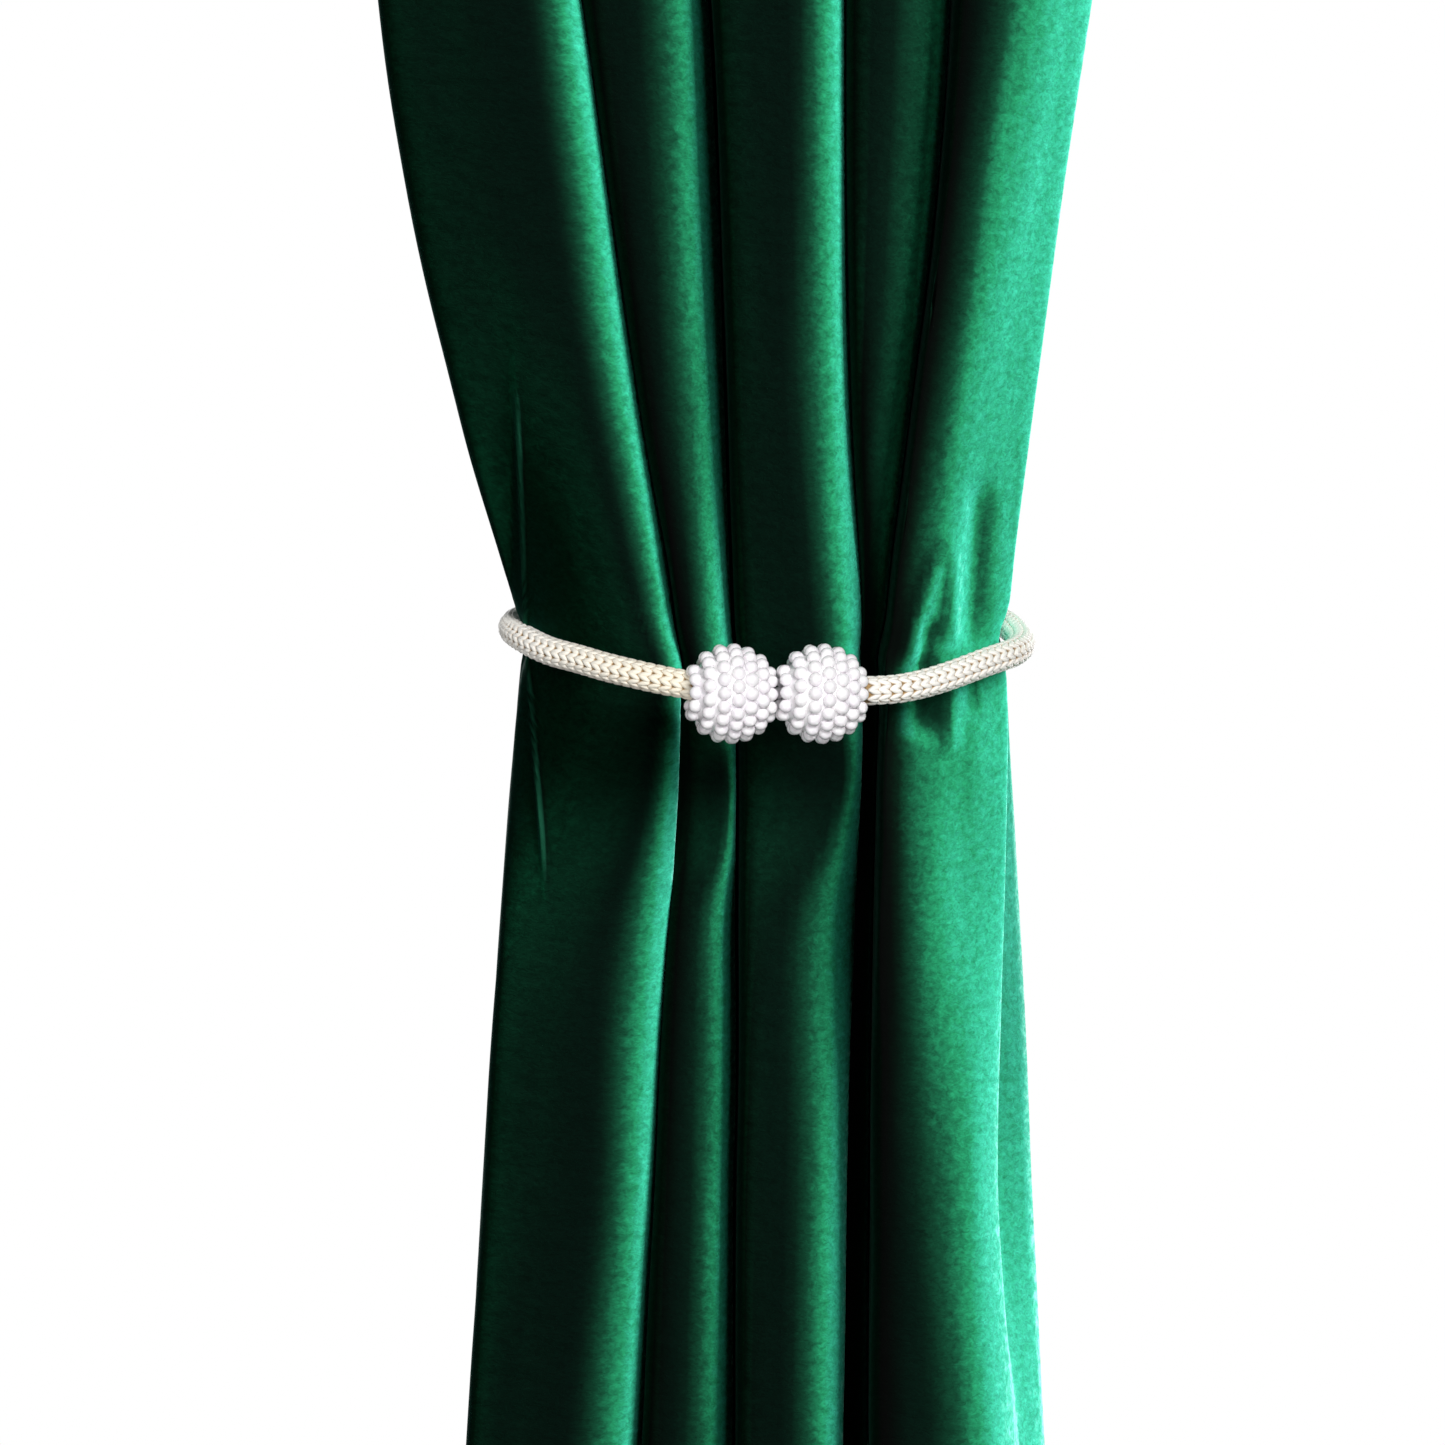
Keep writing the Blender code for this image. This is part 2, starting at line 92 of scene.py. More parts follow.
# Drape: where each fold's right edge shows from the front, at heights below the top edge.
# left is the curtain's left outline, and hem the right side hem that shows past fold e.
# These are the cloth's faces, and its middle lies half a thickness inside them.
Edges = namedtuple("Edges", "drop left a b c d e hem")
EDGES = rows_of(Edges, (
    (0.11, -0.1935, -0.1505, -0.0645, 0.0215, 0.1075, 0.1935, 0.1935),
    (0.45, -0.185, -0.138, -0.057, 0.0235, 0.101, 0.184, 0.185),
    (0.8, -0.168, -0.112, -0.042, 0.0265, 0.088, 0.16, 0.1615),
    (1.05, -0.1488, -0.083, -0.028, 0.0285, 0.0745, 0.135, 0.1365),
    (1.2085, -0.1348, -0.0627, -0.0189, 0.0291, 0.0658, 0.1165, 0.1178),
    (1.2785, -0.124, -0.053, -0.0153, 0.0294, 0.0605, 0.1058, 0.1072),
    (1.35, -0.1062, -0.0417, -0.013, 0.032, 0.0512, 0.0964, 0.0975),
    (1.4, -0.0925, -0.0325, -0.011, 0.035, 0.0445, 0.0897, 0.0905),
    (1.42, -0.0872, -0.03, -0.0103, 0.0355, 0.0426, 0.0878, 0.0884),
    (1.431, -0.0858, -0.0288, -0.0098, 0.0357, 0.0415, 0.0869, 0.0874),
    (1.462, -0.0877, -0.029, -0.0092, 0.0354, 0.0401, 0.0872, 0.0884),
    (1.51, -0.0914, -0.031, -0.0091, 0.0336, 0.0387, 0.0862, 0.0915),
    (1.562, -0.0948, -0.0347, -0.0091, 0.0315, 0.0378, 0.0847, 0.0946),
    (1.6275, -0.0986, -0.0378, -0.01, 0.03, 0.0372, 0.0832, 0.0972),
    (1.7136, -0.104, -0.0424, -0.0102, 0.0287, 0.0368, 0.0889, 0.1015),
    (2.05, -0.1256, -0.06, -0.015, 0.025, 0.052, 0.108, 0.12),
    (2.45, -0.1485, -0.081, -0.02, 0.021, 0.074, 0.129, 0.142),
))

# How far each fold's crown stands in front of the rod's line, and the back folds behind it
Depths = namedtuple("Depths", "drop a b c d e back")
DEPTHS = rows_of(Depths, (
    (0.11, 0.06, 0.06, 0.06, 0.06, 0.06, 0.06),
    (0.8, 0.064, 0.059, 0.059, 0.055, 0.059, 0.059),
    (1.2085, 0.064, 0.056, 0.058, 0.051, 0.056, 0.057),
    (1.35, 0.058, 0.05, 0.052, 0.044, 0.0515, 0.052),
    (1.431, 0.051, 0.045, 0.045, 0.032, 0.047, 0.044),
    (1.47, 0.052, 0.034, 0.042, 0.028, 0.052, 0.047),
    (1.51, 0.055, 0.041, 0.046, 0.028, 0.055, 0.051),
    (1.6275, 0.06, 0.052, 0.056, 0.027, 0.057, 0.054),
    (1.7136, 0.062, 0.054, 0.058, 0.026, 0.059, 0.056),
    (2.45, 0.065, 0.059, 0.062, 0.05, 0.062, 0.058),
))

# Where each fold's crown stands, from its left edge at 0 to its right edge at 1
Crowns = namedtuple("Crowns", "drop a b c d e")
CROWNS = rows_of(Crowns, (
    (0.11, 0.5, 0.5, 0.5, 0.5, 0.5),
    (0.8, 0.66, 0.52, 0.64, 0.5, 0.32),
    (1.2085, 0.72, 0.41, 0.62, 0.44, 0.24),
    (1.2785, 0.72, 0.31, 0.58, 0.42, 0.13),
    (1.35, 0.69, 0.28, 0.5, 0.4, 0.09),
    (1.405, 0.75, 0.23, 0.58, 0.42, 0.09),
    (1.431, 0.84, 0.36, 0.68, 0.5, 0.09),
    (1.47, 0.8, 0.86, 0.86, 0.5, 0.09),
    (1.495, 0.71, 0.8, 0.68, 0.5, 0.11),
    (1.52, 0.62, 0.44, 0.43, 0.5, 0.09),
    (1.562, 0.62, 0.38, 0.4, 0.5, 0.12),
    (1.6275, 0.63, 0.42, 0.46, 0.5, 0.24),
    (1.7136, 0.56, 0.4, 0.44, 0.5, 0.25),
    (2.45, 0.55, 0.4, 0.44, 0.5, 0.32),
))

# How far a front fold falls back between its crown and its right edge, in shares of that
# distance, at places on the way: a round edge, the flatter one of the fourth fold, which slips
# under the last, and the last fold's long slope as the tie draws it
ROUND_PLACES = (0.24, 0.40, 0.60, 0.80, 1.0)
ROUND_DROPS = (0.029, 0.083, 0.20, 0.40, 0.90)
FLAT_DROPS = (0.029, 0.083, 0.17, 0.27, 0.45)
Slope = namedtuple("Slope", "drop first second third fourth last")
LAST_ROUNDS = rows_of(Slope, (
    (0.8, 0.029, 0.083, 0.2, 0.4, 0.9),
    (1.2085, 0.052, 0.15, 0.34, 0.6, 0.92),
    (1.335, 0.054, 0.15, 0.34, 0.6, 0.92),
    (1.4, 0.068, 0.14, 0.27, 0.42, 0.68),
    (1.47, 0.085, 0.16, 0.28, 0.42, 0.66),
    (1.495, 0.085, 0.175, 0.34, 0.54, 0.8),
    (1.5235, 0.07, 0.165, 0.35, 0.58, 0.9),
    (1.562, 0.045, 0.125, 0.28, 0.5, 0.92),
    (1.6285, 0.029, 0.083, 0.2, 0.4, 0.9),
    (2.45, 0.029, 0.083, 0.2, 0.4, 0.9),
))

# From the heading's straight legs to the draped folds
DRAPE_STARTS = 0.11
DRAPE_WHOLE = 0.60

# The tie pulls the folds in on a plane that is lower at the front, and draws them into an oval
TIE_DROP = 1.429
TIE_TILT = 0.28
TIE_REACH = 0.11
OVAL_SHARE = 0.62
OVAL_HALF_WIDTH = 0.088
OVAL_REACH = 0.07
OVAL_POWER = 4
CORD_PINCH = 0.036
PINCH_REACH = 0.008

# How far a fold that stands back slips under the fold on its left
TUCK_SHARE = 0.15

# Section of a front fold, from its left leg round to its right leg. CLEAR keeps it off the edge
# of the fold on its left.
CLEAR = 0.0026
CLEAR_SHARE = 0.40
FIRST_CLEAR = 0.0004
NECK_LIFT = 0.70
NECK_DEPTH = 0.40
FLANK = ((0.0000, 0.36), (0.0001, 0.16), (0.0005, 0.056))
SHOULDER_WIDE = 0.0024
SHOULDER_SHARE = 0.6
TOP_APART = 0.0018
TOP_SHARE = 0.3
FRONT_FALL = 0.20
FALL_FREE = 0.10
FACET_PLACE = 0.5
FACET_FALL = 0.27
RETURN_PLACE = 0.50
# How deep a fold's right edge and the cloth's way back stand, in shares of the front's depth
Rim = namedtuple("Rim", "least back")
RIM = Rim(0.44, 0.38)
LAST_RIM = Rim(0.30, 0.22)

# Below the tie, the last fold's right edge rolls into the side instead of turning under
ROLL_OUT = 0.003
ROLL_STARTS = 1.60
ROLL_LENGTH = 0.12

# Section of a back fold, and of the side hems
BACK_SWELL = 0.16
BACK_SWELL_DEPTH = 0.55
BACK_CORNER = 0.12
BACK_CORNER_DEPTH = 0.90
SIDE_INSET = 0.003
HEM_CURL = 0.004
HEM_DEPTH = 0.82
HEM_BEND_DEPTH = 0.42

# How finely the cloth is laid out: columns across each front fold, back fold and side hem
FRONT_COLUMNS = (78, 30, 32, 18, 60)
BACK_COLUMNS = 8
HEM_COLUMNS = 5
HEADING_COLUMNS = 40
HEADING_ROWS = 12
SPLINE_STEPS = 12
BEND_WEIGHT = 0.007
FINE_LINE = ((0.11, -0.15), (0.9, -0.15), (1.345, -0.085), (1.421, -0.0826), (1.47, -0.0795),
             (1.507, -0.0753), (1.9, -0.09), (2.45, -0.11))
FINE_WEIGHT = 2.5
FINE_WIDTH = 0.004
# Rows down the cloth: where each stretch starts and ends, and its step
PANEL_ROWS = (
    (0.1103, 1.16, 0.025), (1.16, 1.30, 0.008), (1.30, 1.56, 0.0045), (1.56, 1.74, 0.008),
    (1.74, CURTAIN_DROP, 0.022),
)

# Tieback. Its cord goes round the folds from ball to ball, and the balls meet at BALLS_MEET.
CORD_WIDTH = 0.0104
BALL_HALF_WIDTH = 0.0155
BALLS_MEET = Vector((0.0047, -0.0700, -1.4514))
# The cord's middle line: x, y and drop
CORD_ROUTE = (
    (-0.0264, -0.0664, 1.4482), (-0.035, -0.0643, 1.4466), (-0.0448, -0.0605, 1.4444),
    (-0.0546, -0.0545, 1.442), (-0.0644, -0.0465, 1.4391), (-0.075, -0.0364, 1.4361),
    (-0.0845, -0.0222, 1.4314), (-0.0882, -0.0072, 1.4284), (-0.0882, 0.008, 1.4262),
    (-0.0855, 0.0222, 1.4243), (-0.074, 0.035, 1.4215), (-0.056, 0.0455, 1.419),
    (-0.03, 0.0502, 1.4175), (0.0, 0.0512, 1.4172), (0.032, 0.0502, 1.4178),
    (0.06, 0.045, 1.4196), (0.078, 0.035, 1.4225), (0.088, 0.0218, 1.4262),
    (0.0918, 0.0072, 1.4305), (0.0922, -0.0092, 1.4337), (0.0888, -0.0248, 1.4366),
    (0.0782, -0.0383, 1.4403), (0.0672, -0.0485, 1.4444), (0.0567, -0.0565, 1.4477),
    (0.0466, -0.0628, 1.4497), (0.0359, -0.0662, 1.4504),
)

# Camera: 506 mm of the curtain fill the frame on the plane of the folds' fronts
CAMERA_PLACE = Vector((-0.013825, -2.645, -1.461375))
FRAME_WIDTH = 0.50575
FOLDS_FRONT = -0.045
SENSOR_WIDTH = 36.0


# ---- Small helpers

def linear(hex_colour):
    """An sRGB hex colour as the linear one that shaders take."""
    channels = [int(hex_colour[k : k + 2], 16) / 255 for k in (1, 3, 5)]
    return (*(c / 12.92 if c <= 0.04045 else ((c + 0.055) / 1.055) ** 2.4 for c in channels), 1.0)


def mix(start, end, share):
    return start + (end - start) * share


def ease(share):
    share = np.clip(share, 0.0, 1.0)
    return share * share * (3 - 2 * share)


def join(tree, node, sockets):
    """Sets a node's inputs: to a value, or by a link from an output or a node's first output."""
    for name, value in dict(sockets).items():
        if isinstance(value, bpy.types.Node):
            value = value.outputs[0]
        if isinstance(value, bpy.types.NodeSocket):
            tree.links.new(value, node.inputs[name])
        else:
            node.inputs[name].default_value = value


def add(tree, kind, sockets=(), **settings):
    """Adds a node with its settings, and sets its inputs."""
    made = tree.nodes.new(kind)
    for name, value in settings.items():
        setattr(made, name, value)
    join(tree, made, sockets)
    return made


def new_object(name, data):
    obj = bpy.data.objects.new(name, data)
    bpy.context.scene.collection.objects.link(obj)
    return obj


def finish_modifiers(obj):
    """Turns a piece with its modifiers into a plain mesh."""
    graph = bpy.context.evaluated_depsgraph_get()
    mesh = bpy.data.meshes.new_from_object(obj.evaluated_get(graph))
    obj.modifiers.clear()
    old, obj.data = obj.data, mesh
    bpy.data.meshes.remove(old)
    mesh.name = obj.name


def mesh_of(part, name):
    mesh = bpy.data.meshes.new(name)
    part.to_mesh(mesh)
    part.free()
    return mesh


def store(mesh, name, values):
    """Keeps a number at every point of a mesh, for its material to read."""
    layer = mesh.attributes.new(name, "FLOAT", "POINT")
    layer.data.foreach_set("value", values)


def skin(part, rims):
    """Faces between rings of vertices, from each ring to the next."""
    for here, there in zip(rims, rims[1:]):
        for k in range(len(here)):
            after = (k + 1) % len(here)
            part.faces.new((here[k], there[k], there[after], here[after]))


def add_smooth(part, mesh):
    """Adds smooth faces to a piece's mesh, in its first material."""
    part.from_mesh(mesh)
    for face in part.faces:
        face.smooth = True
        face.material_index = 0
    part.to_mesh(mesh)
    part.free()


# ---- Camera

def place_camera():
    data = bpy.data.cameras.new("camera")
    data.sensor_width = SENSOR_WIDTH
    data.lens = SENSOR_WIDTH * (FOLDS_FRONT - CAMERA_PLACE.y) / FRAME_WIDTH
    data.clip_end = 100
    camera = new_object("camera", data)
    camera.location = CAMERA_PLACE
    camera.rotation_euler = (radians(90), 0, 0)
    bpy.context.scene.camera = camera


# ---- Lines

def lengths_along(line):
    return np.concatenate([[0], np.cumsum(np.linalg.norm(np.diff(line, axis=0), axis=1))])


def at(place, along, table):
    """The table at a place. along says where its rows lie."""
    return np.array([np.interp(place, along, axis) for axis in table.T])


def curve(t, span, start, end, leave, arrive):
    """A smooth curve from start to end, t of the way, with its slopes at both."""
    return (
        (2 * t**3 - 3 * t**2 + 1) * start
        + (t**3 - 2 * t**2 + t) * span * leave
        + (3 * t**2 - 2 * t**3) * end
        + (t**3 - t**2) * span * arrive
    )


def row_at(table, drop):
    """The table's row at any drop, on a smooth curve through its own rows."""
    rows = np.array(table, float)
    drops = rows[:, 0]
    drop = min(max(drop, drops[0]), drops[-1])
    last = min(int(np.searchsorted(drops, drop, side="right")), len(rows) - 1)
    first = last - 1
    secants = (rows[1:] - rows[:-1]) / (drops[1:] - drops[:-1])[:, None]
    slopes = np.vstack([secants[:1], (secants[1:] + secants[:-1]) / 2, secants[-1:]])
    span = drops[last] - drops[first]
    t = (drop - drops[first]) / span
    return type(table[0])(*curve(t, span, rows[first], rows[last], slopes[first], slopes[last]))


def smooth_line(points):
    """Points on a centripetal curve through the given ones, SPLINE_STEPS to each stretch."""
    points = np.array(points, float)
    ends = np.vstack([2 * points[0] - points[1], points, 2 * points[-1] - points[-2]])
    runs = np.diff(ends, axis=0)
    gaps = np.sqrt(np.linalg.norm(runs, axis=1))[:, None]
    rates = runs / gaps
    slopes = rates[:-1] + rates[1:] - (ends[2:] - ends[:-2]) / (gaps[:-1] + gaps[1:])
    t = (np.arange(1, SPLINE_STEPS + 1) / SPLINE_STEPS)[:, None]
    line = [points[:1]]
    for gap, *ends in zip(gaps[1:], points, points[1:], slopes, slopes[1:]):
        line.append(curve(t, gap, *ends))
    return np.vstack(line)


def evenly(line, steps, bend_weight=0.0, fine_x=None):
    """The line again, cut into equal steps, which are shorter where it bends and near fine_x."""
    line = np.array(line, float)
    runs = np.diff(line, axis=0)
    lengths = np.linalg.norm(runs, axis=1)
    headings = np.unwrap(np.arctan2(runs[:, 1], runs[:, 0]))
    turns = np.abs(np.gradient(headings)) if bend_weight else np.zeros(len(runs))
    if fine_x is not None:
        middles = (line[1:, 0] + line[:-1, 0]) / 2
        lengths = lengths * (1 + FINE_WEIGHT * np.exp(-(((middles - fine_x) / FINE_WIDTH) ** 2)))
    along = np.concatenate([[0], np.cumsum(lengths + bend_weight * turns)])
    places = np.linspace(0, along[-1], steps + 1)
    return np.stack(at(places, along, line), axis=1)


def join_stretches(stretches):
    """One line from stretches that share their end points."""
    return np.vstack([stretches[0]] + [s[1:] for s in stretches[1:]])


# ---- Cloth's folds, near the solids' ones and laid out more finely

def heading_legs():
    """Where each leg of the heading crosses the rod's line."""
    middle = (EYELET_COUNT - 1) / 2
    return [(k - middle) * LEG_PITCH + shift for k, shift in enumerate(LEG_SHIFTS)]


def fold_columns():
    """Columns of every fold from left to right, front and back ones in turn."""
    return [count for front in FRONT_COLUMNS for count in (front, BACK_COLUMNS)][:-1]


def fold_starts(columns):
    """The first column of every part of the cloth, with the left side hem as the first part."""
    return np.cumsum([0, HEM_COLUMNS] + columns)


def heading_line(columns):
    """The heading from above: straight legs through the eyelets, and round bends between them."""
    legs = heading_legs()
    stretches = [evenly([(legs[0], EYELET_TO_HEM), (legs[0], 0)], HEM_COLUMNS)]
    for k, (here, there, steps) in enumerate(zip(legs, legs[1:], columns)):
        side = -1 if k % 2 == 0 else 1
        radius = (there - here) / 2
        straight = (EYELET_SPACING - pi * radius) / 2
        share = np.linspace(0, 1, steps + 1)
        turn = pi * np.clip((share - LEG_SHARE) / (1 - 2 * LEG_SHARE), 0, 1)
        leg = np.clip(np.minimum(share, 1 - share) / LEG_SHARE, 0, 1)
        x = here + radius - radius * np.cos(turn)
        y = side * (straight * leg + radius * np.sin(turn))
        stretches.append(np.stack([x, y], axis=1))
    stretches.append(evenly([(legs[-1], 0), (legs[-1], EYELET_TO_HEM)], HEM_COLUMNS))
    return join_stretches(stretches)


def drape_legs(rights):
    """Where the ten legs between the folds cross the rod's line, lower down."""
    even = np.linspace(rights[0] + SIDE_INSET, rights[-1] - SIDE_INSET, EYELET_COUNT)
    legs = []
    for left, right in zip(rights, rights[1:]):
        quarter = (right - left) / 4
        legs += [left + quarter, right - quarter]
    legs[0], legs[-1] = even[0], even[-1]
    return [(a + b) / 2 for a, b in zip(even, legs)]


def front_fold(leg_in, leg_out, left, right, front, crown, first, drops, rim):
    """Points round a front fold, from its left leg over its crown to its right leg."""
    wide = right - left
    clear = FIRST_CLEAR if first else min(CLEAR, CLEAR_SHARE * wide)
    top = max(crown * wide, clear + min(TOP_APART, TOP_SHARE * (wide - clear)))
    shoulder = min(clear + SHOULDER_WIDE, mix(clear, top, SHOULDER_SHARE))
    fall = FRONT_FALL * max(top - shoulder - FALL_FREE * wide, 0)
    reach = wide - top
    flank = [
        (left + min(clear + aside, shoulder), fall + behind * front - front)
        for aside, behind in FLANK
    ]
    rounding = [
        (right - (1 - place) * reach, -max(front - drop * reach, rim.least * front))
        for place, drop in zip(ROUND_PLACES, drops)
    ]
    return [
        (leg_in, 0), (mix(leg_in, left + clear, 1.0 if first else NECK_LIFT), -NECK_DEPTH * front),
        *flank, (left + shoulder, fall - front),
        (left + mix(shoulder, top, FACET_PLACE), FACET_FALL * fall - front), (left + top, -front),
        *rounding, (mix(leg_out, right, RETURN_PLACE), -rim.back * front), (leg_out, 0),
    ]


def back_fold(leg_out, next_leg, back):
    """Points round a back fold, which swells out past its legs."""
    gap = next_leg - leg_out
    swell, corner = BACK_SWELL * gap, BACK_CORNER * gap
    return [
        (leg_out, 0), (leg_out - swell, BACK_SWELL_DEPTH * back),
        (leg_out + corner, BACK_CORNER_DEPTH * back), ((leg_out + next_leg) / 2, back),
        (next_leg - corner, BACK_CORNER_DEPTH * back), (next_leg + swell, BACK_SWELL_DEPTH * back),
        (next_leg, 0),
    ]


def drape_line(drop):
    """The draped cloth from above: broad front folds that lean right, each over the next."""
    edges, depths = row_at(EDGES, drop), row_at(DEPTHS, drop)
    half = PANEL_THICKNESS / 2
    rights = [edges.left + half] + [face - half for face in edges[2:-1]]
    hem = edges.hem - half
    fronts = depths[1:-1]
    crowns = row_at(CROWNS, drop)[1:]
    legs = drape_legs(rights)
    legs[-1] = mix(legs[-1], rights[-1] + ROLL_OUT, ease((drop - ROLL_STARTS) / ROLL_LENGTH))
    back = depths.back
    stretches = [[
        (rights[0] + HEM_CURL, HEM_DEPTH * back), (rights[0], HEM_BEND_DEPTH * back), (legs[0], 0),
    ]]
    for fold, (front, crown) in enumerate(zip(fronts, crowns)):
        before = fronts[fold - 1] if fold else front
        left = rights[fold] - TUCK_SHARE * max(before - front, 0)
        leg_in, leg_out = legs[2 * fold], legs[2 * fold + 1]
        drops, rim = ROUND_DROPS, RIM
        if fold == len(fronts) - 2:
            drops = FLAT_DROPS
        if fold == len(fronts) - 1:
            drops, rim = row_at(LAST_ROUNDS, drop)[1:], LAST_RIM
        right = rights[fold + 1]
        stretches.append(
            front_fold(leg_in, leg_out, left, right, front, crown, fold == 0, drops, rim)
        )
        if fold < len(fronts) - 1:
            stretches.append(back_fold(leg_out, legs[2 * fold + 2], back))
    stretches.append([
        (legs[-1], 0), (hem, HEM_BEND_DEPTH * back), (hem - HEM_CURL, HEM_DEPTH * back),
    ])
    points, joins = [stretches[0][0]], [0]
    for stretch in stretches:
        points += stretch[1:]
        joins.append(len(points) - 1)
    line = smooth_line(points)
    steps = [HEM_COLUMNS] + fold_columns() + [HEM_COLUMNS]
    fine_x = np.interp(drop, *zip(*FINE_LINE))
    return join_stretches([
        evenly(line[first * SPLINE_STEPS : last * SPLINE_STEPS + 1], count, BEND_WEIGHT,
               fine_x if number == 1 else None)
        for number, (first, last, count) in enumerate(zip(joins, joins[1:], steps))
    ])


def near_tie(drop, reach):
    return exp(-(((drop - TIE_DROP) / reach) ** 2))


def cloth_row(drop):
    """The cloth's points at one height, from the left side hem to the right one."""
    draped = ease((drop - DRAPE_STARTS) / (DRAPE_WHOLE - DRAPE_STARTS))
    line = (1 - draped) * heading_line(fold_columns()) + draped * drape_line(drop)
    squeeze = OVAL_SHARE * near_tie(drop, OVAL_REACH)
    pinch = 1 - CORD_PINCH * near_tie(drop, PINCH_REACH)
    x, y = line[:, 0], line[:, 1]
    y = y * (1 - squeeze * np.minimum(np.abs(x) / OVAL_HALF_WIDTH, 1) ** OVAL_POWER)
    return np.stack([x * pinch, y, TIE_TILT * near_tie(drop, TIE_REACH) * y - drop], axis=1)


def panel_drops():
    drops = []
    for start, end, step in PANEL_ROWS:
        drops += list(np.linspace(start, end, round((end - start) / step), endpoint=False))
    return drops + [CURTAIN_DROP]


# ---- Creases that the tie makes in the folds

Crease = namedtuple("Crease", "fold height width path")
CREASES = rows_of(Crease, (
    (0, 0.0012, 0.0011, (
        (1.325, -0.0853), (1.35, -0.0849), (1.387, -0.0836), (1.423, -0.0829), (1.44, -0.0824),
        (1.47, -0.0795), (1.51, -0.076), (1.535, -0.0742),
    )),
    (0, 0.0007, 0.008, ((1.285, -0.088), (1.33, -0.083), (1.395, -0.079))),
    (4, 0.002, 0.003, ((1.398, 0.0655), (1.418, 0.066), (1.442, 0.0655))),
    (4, 0.0016, 0.0036, ((1.398, 0.0635), (1.418, 0.0562), (1.446, 0.049))),
    (4, -0.0022, 0.0032, ((1.424, 0.058), (1.434, 0.0572), (1.447, 0.0562))),
    (4, -0.0032, 0.0064, ((1.376, 0.0775), (1.412, 0.0757), (1.446, 0.074))),
    (4, -0.0036, 0.0075, ((1.44, 0.054), (1.453, 0.0545), (1.47, 0.056))),
    (4, 0.0018, 0.0032, ((1.444, 0.0662), (1.46, 0.066), (1.478, 0.0655))),
    (4, -0.0016, 0.0028, ((1.446, 0.0735), (1.455, 0.0735), (1.466, 0.073))),
))
CREASE_FADE = 0.20
# Creases narrower than this get a painted highlight line along them
SHARP_WIDTH = 0.0015


def crease_heights(points, columns):
    """How far creases lift the cloth off its folds, and where sharp ones get a painted highlight
    line.
    """
    heights, painted_crease_line = np.zeros(points.shape[:2]), np.zeros(points.shape[:2])
    starts = fold_starts(columns)
    for crease in CREASES:
        first, last = starts[1 + 2 * crease.fold], starts[2 + 2 * crease.fold]
        path = smooth_line([(drop, x) for drop, x in crease.path])
        for r, row in enumerate(points[:, first : last + 1]):
            front = int(np.argmin(row[:, 1]))
            drop = -row[front, 2]
            share = (drop - path[0, 0]) / (path[-1, 0] - path[0, 0])
            fade = ease(share / CREASE_FADE) * ease((1 - share) / CREASE_FADE)
            if fade == 0:
                continue
            x = np.interp(drop, path[:, 0], path[:, 1])
            low = int(np.argmin(row[: front + 1, 0]))
            high = front + int(np.argmax(row[front:, 0]))
            along = lengths_along(row[:, :2])
            place = np.interp(x, row[low : high + 1, 0], along[low : high + 1])
            share = fade * np.exp(-(((along - place) / crease.width) ** 2))
            heights[r, first : last + 1] += crease.height * share
            if crease.width < SHARP_WIDTH:
                painted_crease_line[r, first : last + 1] += share
    return heights, painted_crease_line


WAVE_HEIGHT = 0.0005
WAVE_WIDTH = 0.018
WAVE_LENGTH = 0.060


def wave_heights(places):
    """Soft unevenness of hanging cloth. places are across and down the cut cloth."""
    return np.array([
        [WAVE_HEIGHT * noise.noise(Vector((u / WAVE_WIDTH, v / WAVE_LENGTH, 0))) for u, v in row]
        for row in places
    ])


# Painted shade in the valleys, from each former fold's edge: their width, and the stretch where
# each one fades.
# Then painted shade on turns to the left, away from the light, and on the darker strip of the right
# side hem.
SHADED_VALLEY_WIDTH = 0.0014
SHADED_VALLEY_FADES = (0.0060, 0.0060, 0.0040, 0.0095)
TURNED_FROM = 0.25
TURNED_WHOLE = 0.60
LEFT_TURN_SHADE = 0.85
SIDE_HEM_SHADE = 0.40
SIDE_FREE = 1.55
SIDE_FADE = 0.12


def painted_shade_shares(points, columns):
    """How much painted shade lies on the pile, from 0 to 1: where it turns to the left, in the
    valley by each fold's edge, and on the right side hem.
    """
    turned_left = -ways_out(points)[:, :, 0]
    shares = LEFT_TURN_SHADE * ease((turned_left - TURNED_FROM) / (TURNED_WHOLE - TURNED_FROM))
    starts = fold_starts(columns)
    for fold, fade in enumerate(SHADED_VALLEY_FADES):
        former, behind, first, last = starts[1 + 2 * fold : 5 + 2 * fold]
        edges = points[:, former : behind + 1, 0].max(axis=1, keepdims=True) + CLEAR + SHADED_VALLEY_WIDTH
        shade_share = 1 - ease((points[:, first : last + 1, 0] - edges) / fade)
        part = shares[:, first : last + 1]
        np.maximum(part, shade_share, out=part)
    side = points[:, -HEM_COLUMNS:]
    shade_share = SIDE_HEM_SHADE * (1 - ease((-side[:, :, 2] - SIDE_FREE) / SIDE_FADE))
    part = shares[:, -HEM_COLUMNS:]
    np.maximum(part, shade_share, out=part)
    return shares


def ways_out(points):
    """The way that the cloth's room side faces, at every point."""
    out = np.cross(np.gradient(points, axis=0), np.gradient(points, axis=1))
    return out / np.maximum(np.linalg.norm(out, axis=2, keepdims=True), 1e-12)


